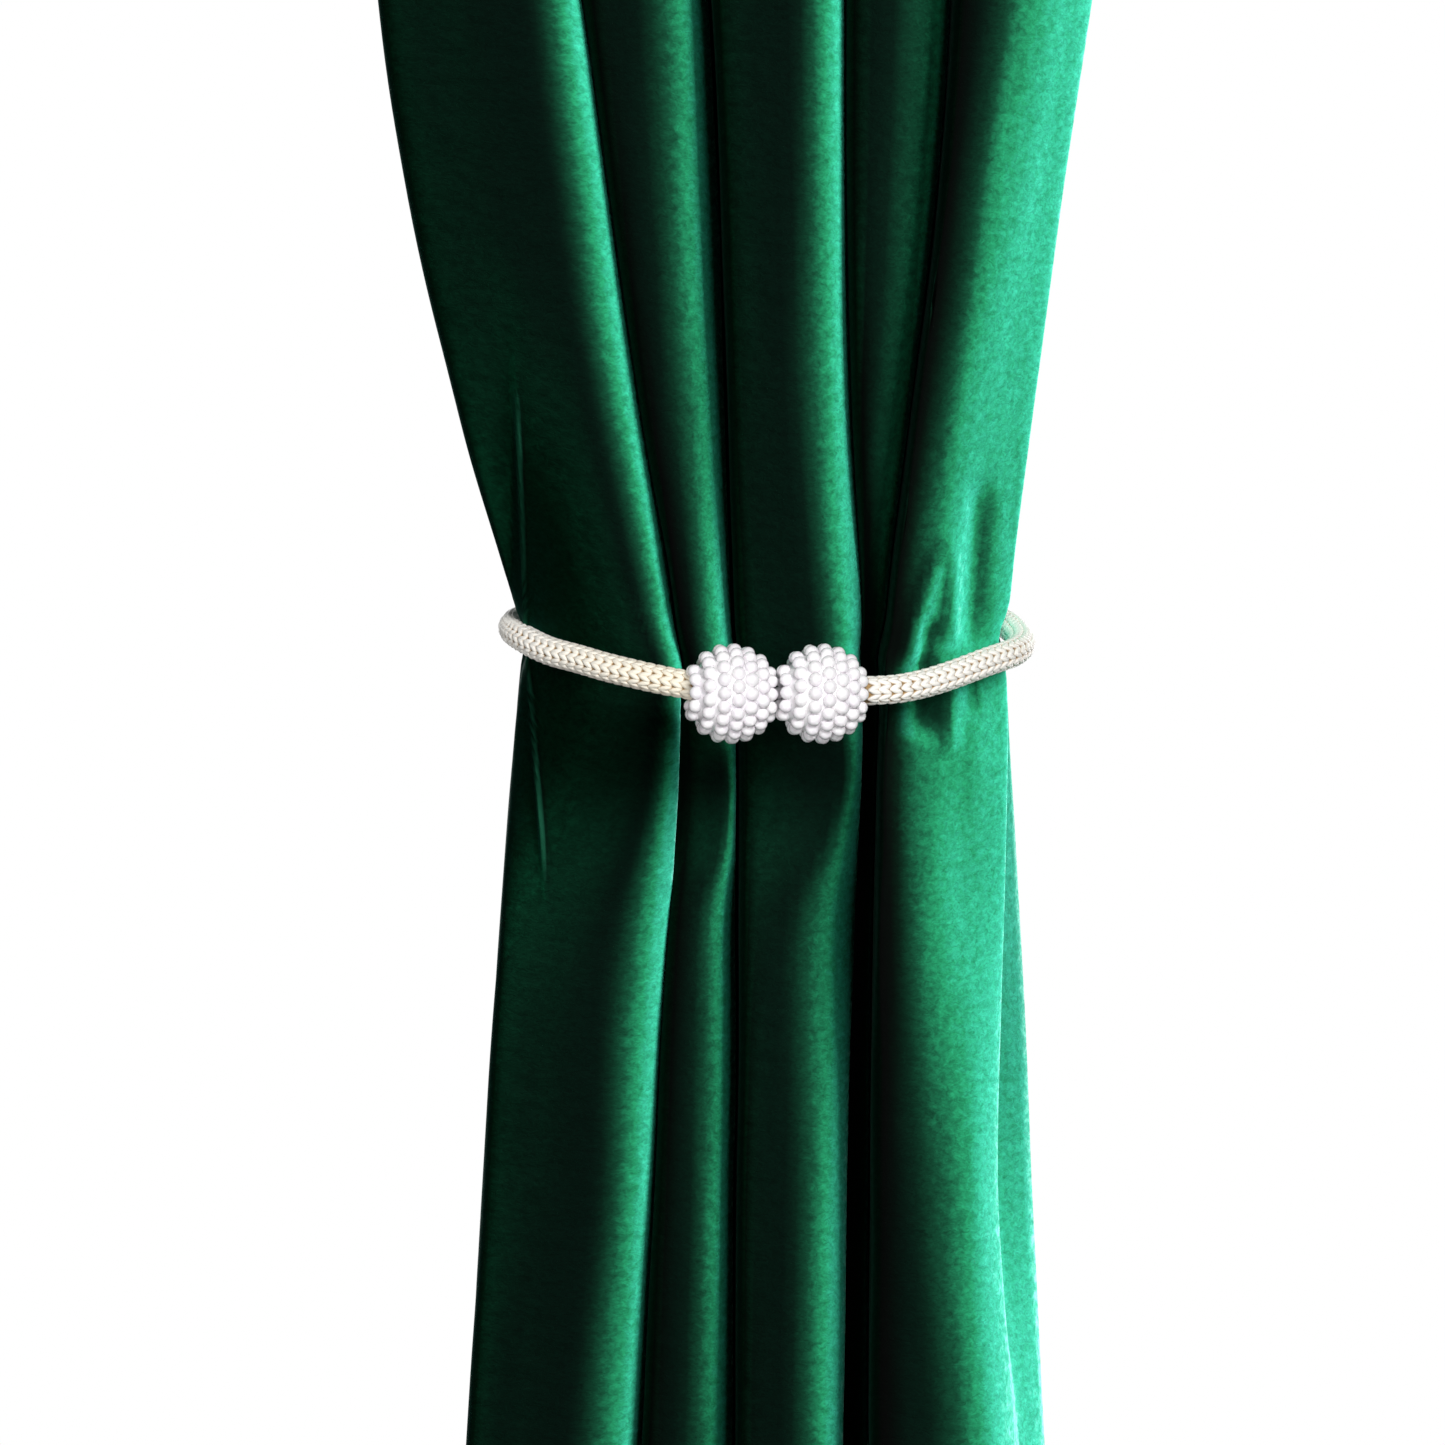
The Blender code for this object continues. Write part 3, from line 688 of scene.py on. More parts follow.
def sheet_object(name, points, places, thickness):
    """A cloth sheet through a grid of points, whose UV map is the cut cloth in metres."""
    rows, columns = points.shape[:2]
    mesh = bpy.data.meshes.new(name)
    index = np.arange(rows * columns).reshape(rows, columns)
    faces = np.stack(
        [index[:-1, :-1], index[1:, :-1], index[1:, 1:], index[:-1, 1:]], axis=2
    ).reshape(-1, 4)
    mesh.from_pydata(points.reshape(-1, 3).tolist(), [], faces.tolist())
    layer = mesh.uv_layers.new(name="cut_cloth")
    layer.data.foreach_set("uv", places.reshape(-1, 2)[faces.ravel()].ravel())
    # How far the cloth is turned from the room, which sets the painted shade and sheen in the
    # colour of its pile
    store(mesh, "painted_sheen_turn", (1 - np.abs(ways_out(points)[:, :, 1])).ravel())
    mesh.shade_smooth()
    obj = new_object(name, mesh)
    wall = obj.modifiers.new("Thickness", "SOLIDIFY")
    wall.thickness = thickness
    wall.offset = 0
    return obj


def cut_places(points, drops, columns):
    """Where every point of the folded cloth lies on the cut cloth, across and down."""
    lengths = np.linalg.norm(np.diff(points[:, :, :2], axis=1), axis=2)
    widths = [EYELET_TO_HEM] + [EYELET_SPACING] * len(columns) + [EYELET_TO_HEM]
    across, first, start = [np.zeros((len(drops), 1))], 0, 0.0
    for count, width in zip([HEM_COLUMNS] + columns + [HEM_COLUMNS], widths):
        run = np.cumsum(lengths[:, first : first + count], axis=1)
        across.append(start + width * run / run[:, -1:])
        first, start = first + count, start + width
    across = np.concatenate(across, axis=1)
    down = np.broadcast_to(np.array(drops)[:, None], across.shape)
    return np.stack([across, down], axis=2)


Seam = namedtuple("Seam", "line outs faces")


def make_velvet_drop(velvet):
    """The velvet panel in its folds, with the creases of the tie."""
    drops = panel_drops()
    points = np.array([cloth_row(drop) for drop in drops])
    columns = fold_columns()
    places = cut_places(points, drops, columns)
    heights, painted_crease_line = crease_heights(points, columns)
    # Painted shade on the valleys, on turns to the left and on the upper side hem strip
    painted_shade = painted_shade_shares(points, columns)
    points += ways_out(points) * (heights + wave_heights(places))[:, :, None]
    panel = sheet_object("velvet_drop", points, places, PANEL_THICKNESS)
    store(panel.data, "painted_shade", painted_shade.ravel())
    store(panel.data, "painted_crease_line", painted_crease_line.ravel())
    panel.data.materials.append(velvet)
    finish_modifiers(panel)
    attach(panel, "root")
    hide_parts("velvet_panel")
    hem_row = int(np.argmin(np.abs(np.array(drops) - BOTTOM_SEAM_DROP)))
    outs = ways_out(points)
    seams = [Seam(points[hem_row], outs[hem_row], (1, -1))]
    for across in (SIDE_SEAM, CLOTH_WIDTH - SIDE_SEAM):
        line, ways = (
            np.array([at(across, cut[:, 0], row) for row, cut in zip(table, places)])
            for table in (points, outs)
        )
        seams.append(Seam(line, ways, (-1,)))
    return panel, seams


# ---- Heading and eyelets

def along_x(position):
    """Turns a piece whose axis is Z to lie along X, at a place."""
    return Matrix.Translation(position) @ Matrix.Rotation(pi / 2, 4, "Y")


def turned(name, profile, sides):
    """A closed profile of (radius, height) turned about the Z axis."""
    ring = bmesh.new()
    rims = []
    for side in range(sides):
        turn = 2 * pi * side / sides
        rims.append([ring.verts.new((r * cos(turn), r * sin(turn), h)) for r, h in profile])
    skin(ring, rims + rims[:1])
    bmesh.ops.recalc_face_normals(ring, faces=ring.faces)
    mesh = mesh_of(ring, name)
    mesh.shade_smooth()
    return new_object(name, mesh)


def eyelet_profile():
    """Half of the ring in section: two rolled faces and the groove that grips the heading."""
    groove = HEADING_THICKNESS / 2 + PIECE_GAP
    half = EYELET_HALF_DEPTH
    turns = [pi / 2 * step / EYELET_ROLL_STEPS for step in range(EYELET_ROLL_STEPS + 1)]
    upper = [
        (EYELET_BORE_RADIUS + EYELET_ROUNDING * (1 - cos(turn)),
         mix(half - EYELET_LIP_ROLL, half, sin(turn)))
        for turn in turns
    ] + [
        (EYELET_FLANGE_RADIUS - EYELET_ROUNDING * (1 - sin(turn)), mix(groove, half, cos(turn)))
        for turn in turns
    ] + [(EYELET_BARREL_RADIUS, groove)]
    return upper + [(r, -h) for r, h in reversed(upper)]


def make_eyelets(nickel):
    rings = []
    for number, leg in enumerate(heading_legs(), 1):
        ring = turned(f"eyelet_ring_{number:02d}", eyelet_profile(), EYELET_SIDES)
        ring.data.transform(along_x((leg, 0, -EYELET_DROP)))
        ring.data.materials.append(nickel)
        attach(ring, "root")
        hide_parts(f"eyelet_{number:02d}")
        rings.append(ring)
    return rings


def make_heading(velvet):
    """The stiff heading, velvet over a tape, with its eyelet holes."""
    line = heading_line([HEADING_COLUMNS] * (EYELET_COUNT - 1))
    drops = np.linspace(0, HEADING_DROP, HEADING_ROWS)
    points = np.array([[(x, y, -drop) for x, y in line] for drop in drops])
    places = np.stack(np.meshgrid(lengths_along(line), drops), axis=2)
    heading = sheet_object("heading_tape", points, places, HEADING_THICKNESS)
    heading.data.materials.append(velvet)
    cutters = bpy.data.collections.new("hole cutters")
    bpy.context.scene.collection.children.link(cutters)
    for leg in heading_legs():
        hole = bmesh.new()
        bmesh.ops.create_cone(
            hole, cap_ends=True, segments=EYELET_SIDES, radius1=EYELET_HOLE_RADIUS,
            radius2=EYELET_HOLE_RADIUS, depth=4 * HEADING_THICKNESS,
        )
        mesh = mesh_of(hole, "hole")
        mesh.transform(along_x((leg, 0, -EYELET_DROP)))
        cutters.objects.link(bpy.data.objects.new("hole", mesh))
    cut = heading.modifiers.new("Eyelet holes", "BOOLEAN")
    cut.operation = "DIFFERENCE"
    cut.operand_type = "COLLECTION"
    cut.collection = cutters
    finish_modifiers(heading)
    for cutter in list(cutters.objects):
        bpy.data.objects.remove(cutter, do_unlink=True)
    bpy.data.collections.remove(cutters)
    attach(heading, "root")
    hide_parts("heading_band")
    outs = ways_out(points)
    return heading, [Seam(points[row], outs[row], (1, -1)) for row in HEADING_SEAM_ROWS]


# ---- Grains: one tree that sets a small rounded shape on every seat

Seat = namedtuple("Seat", "place turn size", defaults=[(1, 1, 1)])
Grain = namedtuple("Grain", "length width height segments rings")


def grains_tree(material):
    """Sets a rounded grain of the given length, width and height on every point of a mesh."""
    tree = bpy.data.node_groups.new("grains on seats", "GeometryNodeTree")
    sockets = {
        "Geometry": "Geometry", "Length": "Float", "Width": "Float", "Height": "Float",
        "Segments": "Int", "Rings": "Int", "Material": "Material",
    }
    for name, kind in sockets.items():
        tree.interface.new_socket(name, in_out="INPUT", socket_type="NodeSocket" + kind)
    tree.interface.new_socket("Geometry", in_out="OUTPUT", socket_type="NodeSocketGeometry")
    seats = add(tree, "NodeGroupInput")
    given = seats.outputs
    ball = add(tree, "GeometryNodeMeshUVSphere", {
        "Segments": given["Segments"], "Rings": given["Rings"], "Radius": 0.5,
    })
    size = add(tree, "ShaderNodeCombineXYZ", {
        "X": given["Width"], "Y": given["Height"], "Z": given["Length"],
    })
    grain = add(tree, "GeometryNodeTransform", {"Geometry": ball, "Scale": size})
    turn = add(tree, "GeometryNodeInputNamedAttribute", {"Name": "turn"}, data_type="FLOAT_VECTOR")
    scale = add(tree, "GeometryNodeInputNamedAttribute", {"Name": "size"}, data_type="FLOAT_VECTOR")
    spin = add(tree, "FunctionNodeEulerToRotation", {"Euler": turn})
    placed = add(tree, "GeometryNodeInstanceOnPoints", {
        "Points": given["Geometry"], "Instance": grain, "Rotation": spin, "Scale": scale,
    })
    real = add(tree, "GeometryNodeRealizeInstances", {"Geometry": placed})
    smooth = add(tree, "GeometryNodeSetShadeSmooth", {"Geometry": real})
    painted = add(tree, "GeometryNodeSetMaterial", {
        "Geometry": smooth, "Material": given["Material"],
    })
    add(tree, "NodeGroupOutput", {"Geometry": painted})
    return tree


def set_grains(name, seats, grain, material):
    """A plain mesh of grains, one on each seat."""
    mesh = bpy.data.meshes.new(name)
    mesh.from_pydata([tuple(seat.place) for seat in seats], [], [])
    for attribute in ("turn", "size"):
        layer = mesh.attributes.new(attribute, "FLOAT_VECTOR", "POINT")
        layer.data.foreach_set("vector", [v for seat in seats for v in getattr(seat, attribute)])
    obj = new_object(name, mesh)
    tree = grains_tree(material)
    modifier = obj.modifiers.new("Grains", "NODES")
    modifier.node_group = tree
    values = {field.title(): value for field, value in grain._asdict().items()}
    values["Material"] = material
    for item in tree.interface.items_tree:
        if item.in_out == "INPUT" and item.name in values:
            modifier[item.identifier] = values[item.name]
    finish_modifiers(obj)
    bpy.data.node_groups.remove(tree)
    mesh = obj.data
    mesh.materials.clear()
    mesh.materials.append(material)
    mesh.polygons.foreach_set("material_index", [0] * len(mesh.polygons))
    for attribute in ("turn", "size"):
        if attribute in mesh.attributes:
            mesh.attributes.remove(mesh.attributes[attribute])
    return obj


def turn_to(length_way, height_way):
    """Euler angles that lay a grain's length and its height along two ways."""
    z = Vector(length_way).normalized()
    y = Vector(height_way)
    y = (y - z * y.dot(z)).normalized()
    x = y.cross(z)
    return Matrix((x, y, z)).transposed().to_euler()


# ---- Sewing

BOTTOM_SEAM_DROP = 2.40
SIDE_SEAM = 0.025
HEADING_SEAM_ROWS = (1, -2)
SEWN_PITCH = 0.0040
SEWN_GRAIN = Grain(0.0034, 0.0006, 0.0004, 6, 4)


def make_sewing(name, seams, thickness, thread):
    """Stitches along seams in the cloth. The side hems are sewn blind, on the wall face alone."""
    seats = []
    for line, outs, faces in seams:
        along = lengths_along(line)
        ways = np.gradient(line, along, axis=0)
        for place in np.arange(SEWN_PITCH, along[-1] - SEWN_PITCH, SEWN_PITCH):
            middle, way, out = (at(place, along, table) for table in (line, ways, outs))
            for face in faces:
                on_face = middle + face * out * thickness / 2
                seats.append(Seat(on_face, turn_to(way, face * out)))
    sewing = set_grains(name, seats, SEWN_GRAIN, thread)
    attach(sewing, "root")
    return sewing


# ---- Knitted cord

STITCH_PITCH = 0.00375
WALES = 8
WALE_START = radians(-25)
LEG_SEAT = 0.0040
LEG_GRAIN = Grain(0.0056, 0.0023, 0.0023, 8, 5)
LEG_LEAN = radians(20)
LEG_APART = 0.00098
CORE_RADIUS = 0.0040
CORE_SIDES = 16
INTO_BALL = 0.003
CORD_LENGTH_STEPS = 160


def cord_line():
    """The cord's middle line, carried on a little way into both balls."""
    line = smooth_line([(x, y, -drop) for x, y, drop in CORD_ROUTE])
    start = line[0] - line[1]
    end = line[-1] - line[-2]
    start = line[0] + start / np.linalg.norm(start) * INTO_BALL
    end = line[-1] + end / np.linalg.norm(end) * INTO_BALL
    return evenly(np.vstack([start, line, end]), CORD_LENGTH_STEPS)


def cord_frames(line):
    """Length along the cord, its way on, and a side that turns as little as it can."""
    ways = np.gradient(line, axis=0)
    ways /= np.linalg.norm(ways, axis=1, keepdims=True)
    along = lengths_along(line)
    side = np.cross(ways[0], (0, 0, 1))
    sides = []
    for way in ways:
        side = side - way * side.dot(way)
        side /= np.linalg.norm(side)
        sides.append(side)
    return along, ways, np.array(sides)


def make_tie(cotton):
    """The knitted cord: a tube of yarn in the dark of its gaps, and the legs of every stitch."""
    line = cord_line()
    along, ways, sides = cord_frames(line)
    seats = []
    count = int(along[-1] / STITCH_PITCH)
    for stitch in range(count):
        for wale in range(WALES):
            for leg in (-1, 1):
                place = (stitch + 0.5) * STITCH_PITCH
                middle, way, side = (at(place, along, table) for table in (line, ways, sides))
                up = np.cross(side, way)
                angle = WALE_START + wale * 2 * pi / WALES + leg * LEG_APART / LEG_SEAT
                out = cos(angle) * side + sin(angle) * up
                round_way = -sin(angle) * side + cos(angle) * up
                lean = way * cos(LEG_LEAN) + leg * round_way * sin(LEG_LEAN)
                seats.append(Seat(middle + out * LEG_SEAT, turn_to(lean, out)))
    legs = set_grains("tie_knit", seats, LEG_GRAIN, cotton)
    tube = bmesh.new()
    rims = []
    for middle, way, side in zip(line, ways, sides):
        up = np.cross(side, way)
        rims.append([
            tube.verts.new(middle + CORE_RADIUS * (cos(turn) * side + sin(turn) * up))
            for turn in np.linspace(0, 2 * pi, CORE_SIDES, endpoint=False)
        ])
    skin(tube, rims)
    tube.faces.new(rims[0])
    tube.faces.new(rims[-1][::-1])
    bmesh.ops.recalc_face_normals(tube, faces=tube.faces)
    mesh = legs.data
    add_smooth(tube, mesh)
    points = np.empty(len(mesh.vertices) * 3)
    mesh.vertices.foreach_get("co", points)
    points = points.reshape(-1, 3)
    near = np.argmin(((points[:, None, :] - line[None, ::2, :]) ** 2).sum(axis=2), axis=1)
    offset = points - line[::2][near]
    offset -= ways[::2][near] * (offset * ways[::2][near]).sum(axis=1, keepdims=True)
    proud = (np.linalg.norm(offset, axis=1) - CORE_RADIUS) / (CORD_WIDTH / 2 - CORE_RADIUS)
    store(mesh, "proud", proud)
    store(mesh, "along", along[::2][near] / along[-1])
    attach(legs, "root")
    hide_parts("tie_cord")
    return legs


# ---- Pearl balls

# Rings of pearls: the place along the cord, how many, and how far the first one is turned
PEARL_RINGS = (
    (-0.0131, 10, 0.0), (-0.0089, 16, 0.5), (-0.0041, 19, 0.0), (0.0007, 20, 0.5),
    (0.0054, 18, 0.0), (0.0098, 15, 0.5), (0.0131, 10, 0.0),
)
PEARL_SEAT = 0.0152
PEARL_WIDTH = 0.0049
PEARL_GRAIN = Grain(PEARL_WIDTH, PEARL_WIDTH, PEARL_WIDTH, 12, 8)
PEARL_SIZES = 0.03
SHELL_RADIUS = 0.0150
BALL_TURN = radians(8)
BALL_DIP = radians(1.3)


def make_ball(name, node, side, pearl):
    """A magnet's shell covered with pearls, in rings round the line of the cord."""
    centre = BALLS_MEET + Vector((side * (BALL_HALF_WIDTH + PIECE_GAP / 2), 0, 0))
    tilt = Matrix.Rotation(BALL_TURN, 3, "Z") @ Matrix.Rotation(BALL_DIP, 3, "Y")
    seats = []
    for offset, count, start in PEARL_RINGS:
        radius = (PEARL_SEAT**2 - offset**2) ** 0.5
        for k in range(count):
            turn = 2 * pi * (k + start) / count
            place = Vector((offset, -radius * cos(turn), radius * sin(turn)))
            size = 1 + PEARL_SIZES * noise.noise(place * 1000 + Vector((side * 7, 0, 0)))
            place = tilt @ place
            seats.append(Seat(centre + place, turn_to(place, (0.1, 0.3, 1)), (size, size, size)))
    ball = set_grains(name, seats, PEARL_GRAIN, pearl)
    shell = bmesh.new()
    bmesh.ops.create_icosphere(shell, subdivisions=3, radius=SHELL_RADIUS)
    limit = BALL_HALF_WIDTH - PEARL_WIDTH / 2
    for vert in shell.verts:
        vert.co.x = min(max(vert.co.x, -limit), limit)
        vert.co = centre + tilt @ vert.co
    add_smooth(shell, ball.data)
    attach(ball, "root")
    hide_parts(node)
    return ball


# ---- Materials

def new_material(name):
    """A material with its shader, and the shader to set."""
    made = bpy.data.materials.new(name)
    made.use_nodes = True
    return made, made.node_tree, made.node_tree.nodes["Principled BSDF"]


# Painted shade and sheen of the pile: colours from cloth that faces the room at 0, painted near
# black, to cloth turned side-on at 1, painted bright mint
PILE_SHADE_AND_SHEEN = (
    (0.0, "#010f09"), (0.01, "#02150d"), (0.0975, "#0a3a26"), (0.234, "#19724c"),
    (0.44, "#289171"), (0.66, "#35a68a"), (0.80, "#50bda1"), (0.92, "#74cfb9"), (1.0, "#88d8c6"),
)
# Patterns of the pile, sized in metres across and down the cut cloth. Tufts lie together in
# curls of about 1 to 2 mm, handling leaves patches of 9 to 16 mm that lie another way, and
# between them the pile leans a little more or less in spots of 3 to 4 mm.
Pattern = namedtuple("Pattern", "across down detail roughness distortion")
CURLS = Pattern(0.0024, 0.0014, 3.0, 0.6, 1.2)
PATCHES = Pattern(0.016, 0.009, 2.0, 0.5, 0.0)
SPOTS = Pattern(0.0042, 0.0034, 3.0, 0.6, 0.5)
# The thread's twist, the yarn's fibres and the pearls' lustre, in metres
THREAD_TWIST = 0.0008
YARN_FIBRES = 0.0006
PEARL_LUSTRE = 0.006


def cut_pile_velvet():
    """Cut-pile velvet with painted shade and sheen: near black where it faces the room, and bright
    where it turns side-on.
    """
    made, tree, shader = new_material("cut pile velvet")
    cloth = add(tree, "ShaderNodeUVMap", uv_map="cut_cloth")
    fields = []
    for pattern in (CURLS, PATCHES, SPOTS):
        stretch = add(tree, "ShaderNodeMapping", {
            "Vector": cloth, "Scale": (1 / pattern.across, 1 / pattern.down, 1),
        })
        fields.append(add(tree, "ShaderNodeTexNoise", {
            "Vector": stretch, "Scale": 1.0, "Detail": pattern.detail,
            "Roughness": pattern.roughness, "Distortion": pattern.distortion,
        }))
    curls, patches, spots = fields
    brushed = add(tree, "ShaderNodeBump", {"Height": patches, "Strength": 0.5, "Distance": 0.0015})
    bump = add(tree, "ShaderNodeBump", {
        "Height": curls, "Strength": 0.5, "Distance": 0.0003, "Normal": brushed,
    })
    spotted = add(tree, "ShaderNodeMapRange", {
        "Value": spots, "From Min": 0.25, "From Max": 0.75, "To Min": 0.70, "To Max": 1.30,
    })
    painted_sheen_turn = add(tree, "ShaderNodeAttribute", attribute_name="painted_sheen_turn")
    sheen_ramp_place = add(tree, "ShaderNodeMath", {
        0: painted_sheen_turn.outputs["Fac"], 1: spotted,
    }, operation="MULTIPLY")
    # Painted shade and sheen: the ramp runs from near black, facing the room, to bright mint,
    # side-on
    lean = add(tree, "ShaderNodeValToRGB", {"Fac": sheen_ramp_place})
    stops = lean.color_ramp.elements
    for place, colour in PILE_SHADE_AND_SHEEN[1:-1]:
        stops.new(place)
    for stop, (place, colour) in zip(stops, PILE_SHADE_AND_SHEEN):
        stop.position = place
        stop.color = linear(colour)
    shade = add(tree, "ShaderNodeMapRange", {
        "Value": curls, "From Min": 0.3, "From Max": 0.7, "To Min": 0.72, "To Max": 1.28,
    })
    # Painted shade: pile that turns left, away from the light, or sinks into a valley between folds
    # is darkened, down to a twentieth
    painted_shade = add(tree, "ShaderNodeAttribute", attribute_name="painted_shade")
    free = add(tree, "ShaderNodeMapRange", {
        "Value": painted_shade.outputs["Fac"], "To Min": 1.0, "To Max": 0.05,
    })
    tone_and_painted_shade = add(tree, "ShaderNodeMath", {0: shade, 1: free}, operation="MULTIPLY")
    lit = add(tree, "ShaderNodeVectorMath", {0: lean, "Scale": tone_and_painted_shade}, operation="SCALE")
    # A sharp crease gets a painted highlight, shown as a light line along its ridge
    painted_crease_line = add(tree, "ShaderNodeAttribute", attribute_name="painted_crease_line")
    share = add(tree, "ShaderNodeMapRange", {
        "Value": painted_crease_line.outputs["Fac"], "From Min": 0.3, "From Max": 1.0, "To Max": 0.6,
    })
    line = add(tree, "ShaderNodeMix", {0: share, 6: lit, 7: linear("#3ba079")}, data_type="RGBA")
    join(tree, shader, {
        "Base Color": line.outputs[2], "Roughness": 1.0, "Specular IOR Level": 0.05, "Normal": bump,
    })
    return made


def flecked(name, size, detail, dark, light):
    """A material and its shader, with a noise of a real size that mixes two colours."""
    made, tree, shader = new_material(name)
    place = add(tree, "ShaderNodeTexCoord")
    fleck = add(tree, "ShaderNodeTexNoise", {
        "Vector": place.outputs["Object"], "Scale": 1 / size, "Detail": detail,
    })
    colour = add(tree, "ShaderNodeMix", {
        0: fleck, 6: linear(dark), 7: linear(light),
    }, data_type="RGBA")
    return made, tree, shader, fleck, colour.outputs[2]


def sewing_thread():
    """Green polyester thread, sunk in the pile, with the slight gloss of its twist."""
    made, tree, shader, _, colour = flecked(
        "polyester sewing thread", THREAD_TWIST, 1.0, "#1a7552", "#289a70"
    )
    join(tree, shader, {"Base Color": colour, "Roughness": 0.6})
    return made


def satin_nickel():
    """Brushed nickel plate on a pressed ring: soft streaks, and no clear reflection."""
    made, tree, shader = new_material("satin nickel plate")
    place = add(tree, "ShaderNodeTexCoord")
    stretch = add(tree, "ShaderNodeMapping", {
        "Vector": place.outputs["Object"], "Scale": (300, 900, 900),
    })
    brushed = add(tree, "ShaderNodeTexNoise", {"Vector": stretch, "Scale": 1.0, "Detail": 2.0})
    rough = add(tree, "ShaderNodeMapRange", {"Value": brushed, "To Min": 0.26, "To Max": 0.42})
    colour = add(tree, "ShaderNodeMix", {
        0: brushed, 6: linear("#b9b5af"), 7: linear("#d2cfca"),
    }, data_type="RGBA")
    join(tree, shader, {"Base Color": colour.outputs[2], "Roughness": rough, "Metallic": 1.0})
    return made


def knitted_yarn():
    """Ivory polyester yarn, knitted: light on the stitches' proud legs, with painted shade that
    turns it tan in the gaps.
    """
    made, tree, shader, fibres, yarn = flecked(
        "knitted ivory yarn", YARN_FIBRES, 2.0, "#f8f3e8", "#fffdf8"
    )
    proud = add(tree, "ShaderNodeAttribute", attribute_name="proud")
    along = add(tree, "ShaderNodeAttribute", attribute_name="along")
    # Painted shade: yarn near the cord's core, deep in the gaps between stitches, turns tan
    depth = add(tree, "ShaderNodeMapRange", {
        "Value": proud.outputs["Fac"], "From Min": 0.0, "From Max": 0.7,
    }, interpolation_type="SMOOTHSTEP")
    # The yarn turns golden near the left ball
    toward_left_ball = add(tree, "ShaderNodeMapRange", {
        "Value": along.outputs["Fac"], "From Min": 0.02, "From Max": 0.16,
        "To Min": 1.0, "To Max": 0.0,
    })
    golden = add(tree, "ShaderNodeMix", {
        0: toward_left_ball, 6: yarn, 7: linear("#f9f0dc"),
    }, data_type="RGBA")
    colour = add(tree, "ShaderNodeMix", {
        0: depth, 6: linear("#a5834f"), 7: golden.outputs[2],
    }, data_type="RGBA")
    bump = add(tree, "ShaderNodeBump", {"Height": fibres, "Strength": 0.3, "Distance": 0.0003})
    join(tree, shader, {
        "Base Color": colour.outputs[2], "Roughness": 0.55, "Sheen Weight": 0.2,
        "Sheen Roughness": 0.5, "Normal": bump,
    })
    return made


def imitation_pearl():
    """Moulded plastic pearl under a lustre coat: glossy white with a lilac shade."""
    made, tree, shader, _, colour = flecked(
        "imitation pearl", PEARL_LUSTRE, 1.0, "#efe9f1", "#fdfbfa"
    )
    join(tree, shader, {
        "Base Color": colour, "Roughness": 0.2, "Subsurface Weight": 0.35,
        "Subsurface Radius": (1.0, 0.9, 0.95), "Subsurface Scale": 0.0012,
        "Coat Weight": 0.4, "Coat Roughness": 0.08,
    })
    return made


# ---- Stage and light

FLOOR_DROP = 2.462
FLOOR_RADIUS = 3.0
FLOOR_SIDES = 96
CURTAIN_MIDDLE = Vector((0, -0.03, -1.40))
TIE_MIDDLE = (0, -0.06, -1.44)


def make_floor():
    disc = bmesh.new()
    bmesh.ops.create_circle(disc, cap_ends=True, segments=FLOOR_SIDES, radius=FLOOR_RADIUS)
    mesh = mesh_of(disc, "floor")
    mesh.transform(Matrix.Translation((0, 0, -FLOOR_DROP)))
    floor = new_object("floor", mesh)
    made, tree, shader = new_material("pale floor")
    join(tree, shader, {"Base Color": linear("#e9e7e3"), "Roughness": 0.8})
    mesh.materials.append(made)
    floor.visible_diffuse = False
    return floor


def soft_light(name, place, target, width, height, watts, only=None):
    """A soft box at a place, turned to its target. only is the pieces that it lights."""
    data = bpy.data.lights.new(name, "AREA")
    data.shape = "RECTANGLE"
    data.size = width
    data.size_y = height
    data.energy = watts
    light = new_object(name, data)
    light.location = place
    way = Vector(target) - Vector(place)
    light.rotation_euler = way.to_track_quat("-Z", "Y").to_euler()
    light.visible_camera = False
    if only:
        lit = bpy.data.collections.new(name + " lights")
        for piece in only:
            lit.objects.link(piece)
        light.light_linking.receiver_collection = lit


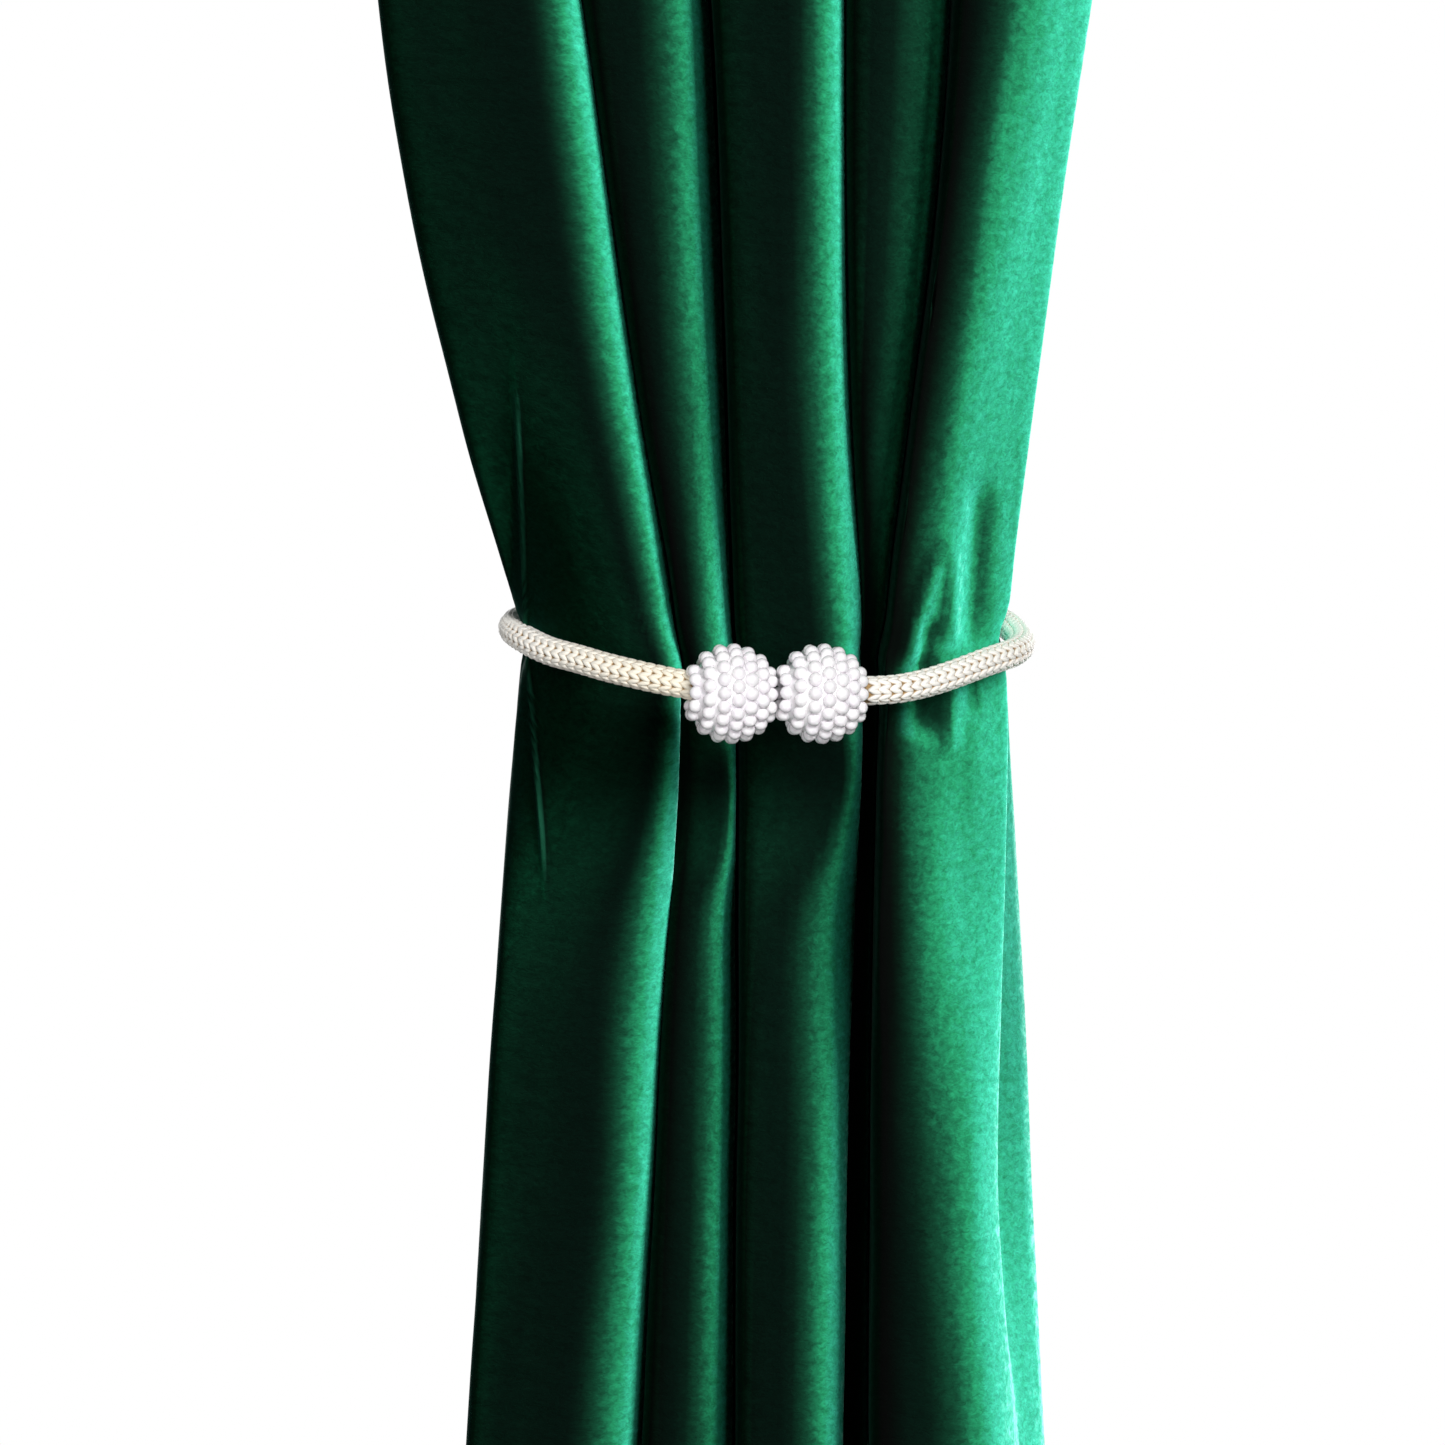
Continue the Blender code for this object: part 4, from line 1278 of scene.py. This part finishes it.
def set_world():
    """A white surround for the eye, and a dim one for the cloth."""
    world = bpy.data.worlds.new("studio")
    bpy.context.scene.world = world
    world.use_nodes = True
    tree = world.node_tree
    rays = add(tree, "ShaderNodeLightPath")
    gloss = add(tree, "ShaderNodeMapRange", {
        "Value": rays.outputs["Is Glossy Ray"], "To Min": 0.02, "To Max": 0.5,
    })
    strength = add(tree, "ShaderNodeMath", {
        0: gloss, 1: rays.outputs["Is Camera Ray"],
    }, operation="MAXIMUM")
    ground = tree.nodes["Background"]
    join(tree, ground, {"Color": (1, 1, 1, 1), "Strength": strength})


def round_middle(azimuth, elevation, distance):
    """A place round the curtain. Azimuth 0 is straight in front of it and 90 to its right."""
    turn, rise = radians(azimuth), radians(elevation)
    way = Vector((sin(turn) * cos(rise), -cos(turn) * cos(rise), sin(rise)))
    return CURTAIN_MIDDLE + distance * way


def light_studio(cloth, bright_pieces, floor):
    """Soft boxes, each with its place, its target, its width and height and its watts."""
    middle, tie = CURTAIN_MIDDLE, TIE_MIDDLE
    soft_light("key", round_middle(60, 30, 2.9), middle, 1.3, 1.7, 192, only=cloth)
    soft_light("room", round_middle(36, 5, 2.9), middle, 1.8, 1.8, 30, only=cloth)
    soft_light("front", (0.5, -2.2, -0.6), tie, 0.9, 0.9, 52, only=bright_pieces)
    soft_light("fill", (-0.6, -2.0, -2.2), tie, 1.6, 1.2, 26, only=bright_pieces)
    soft_light("back_left", round_middle(-160, 8, 3.0), middle, 1.2, 2.6, 40)
    soft_light("back_right", round_middle(150, 8, 3.0), middle, 1.2, 2.6, 90)
    soft_light("floor_light", (0, 0, 1.2), (0, 0, -FLOOR_DROP), 5.0, 5.0, 210, only=[floor])
    set_world()
    bpy.context.scene.view_settings.view_transform = "Standard"


def main():
    place_camera()
    tie = make_tie(knitted_yarn())
    pearl = imitation_pearl()
    balls = [
        make_ball("pearl_ball_left", "ball_left", -1, pearl),
        make_ball("pearl_ball_right", "ball_right", 1, pearl),
    ]
    velvet = cut_pile_velvet()
    thread = sewing_thread()
    heading, heading_seams = make_heading(velvet)
    panel, hem_seams = make_velvet_drop(velvet)
    cloth = [
        heading, panel, make_sewing("heading_stitches", heading_seams, HEADING_THICKNESS, thread),
        make_sewing("hem_stitches", hem_seams, PANEL_THICKNESS, thread),
    ]
    eyelets = make_eyelets(satin_nickel())
    light_studio(cloth, [tie] + balls + eyelets, make_floor())


main()
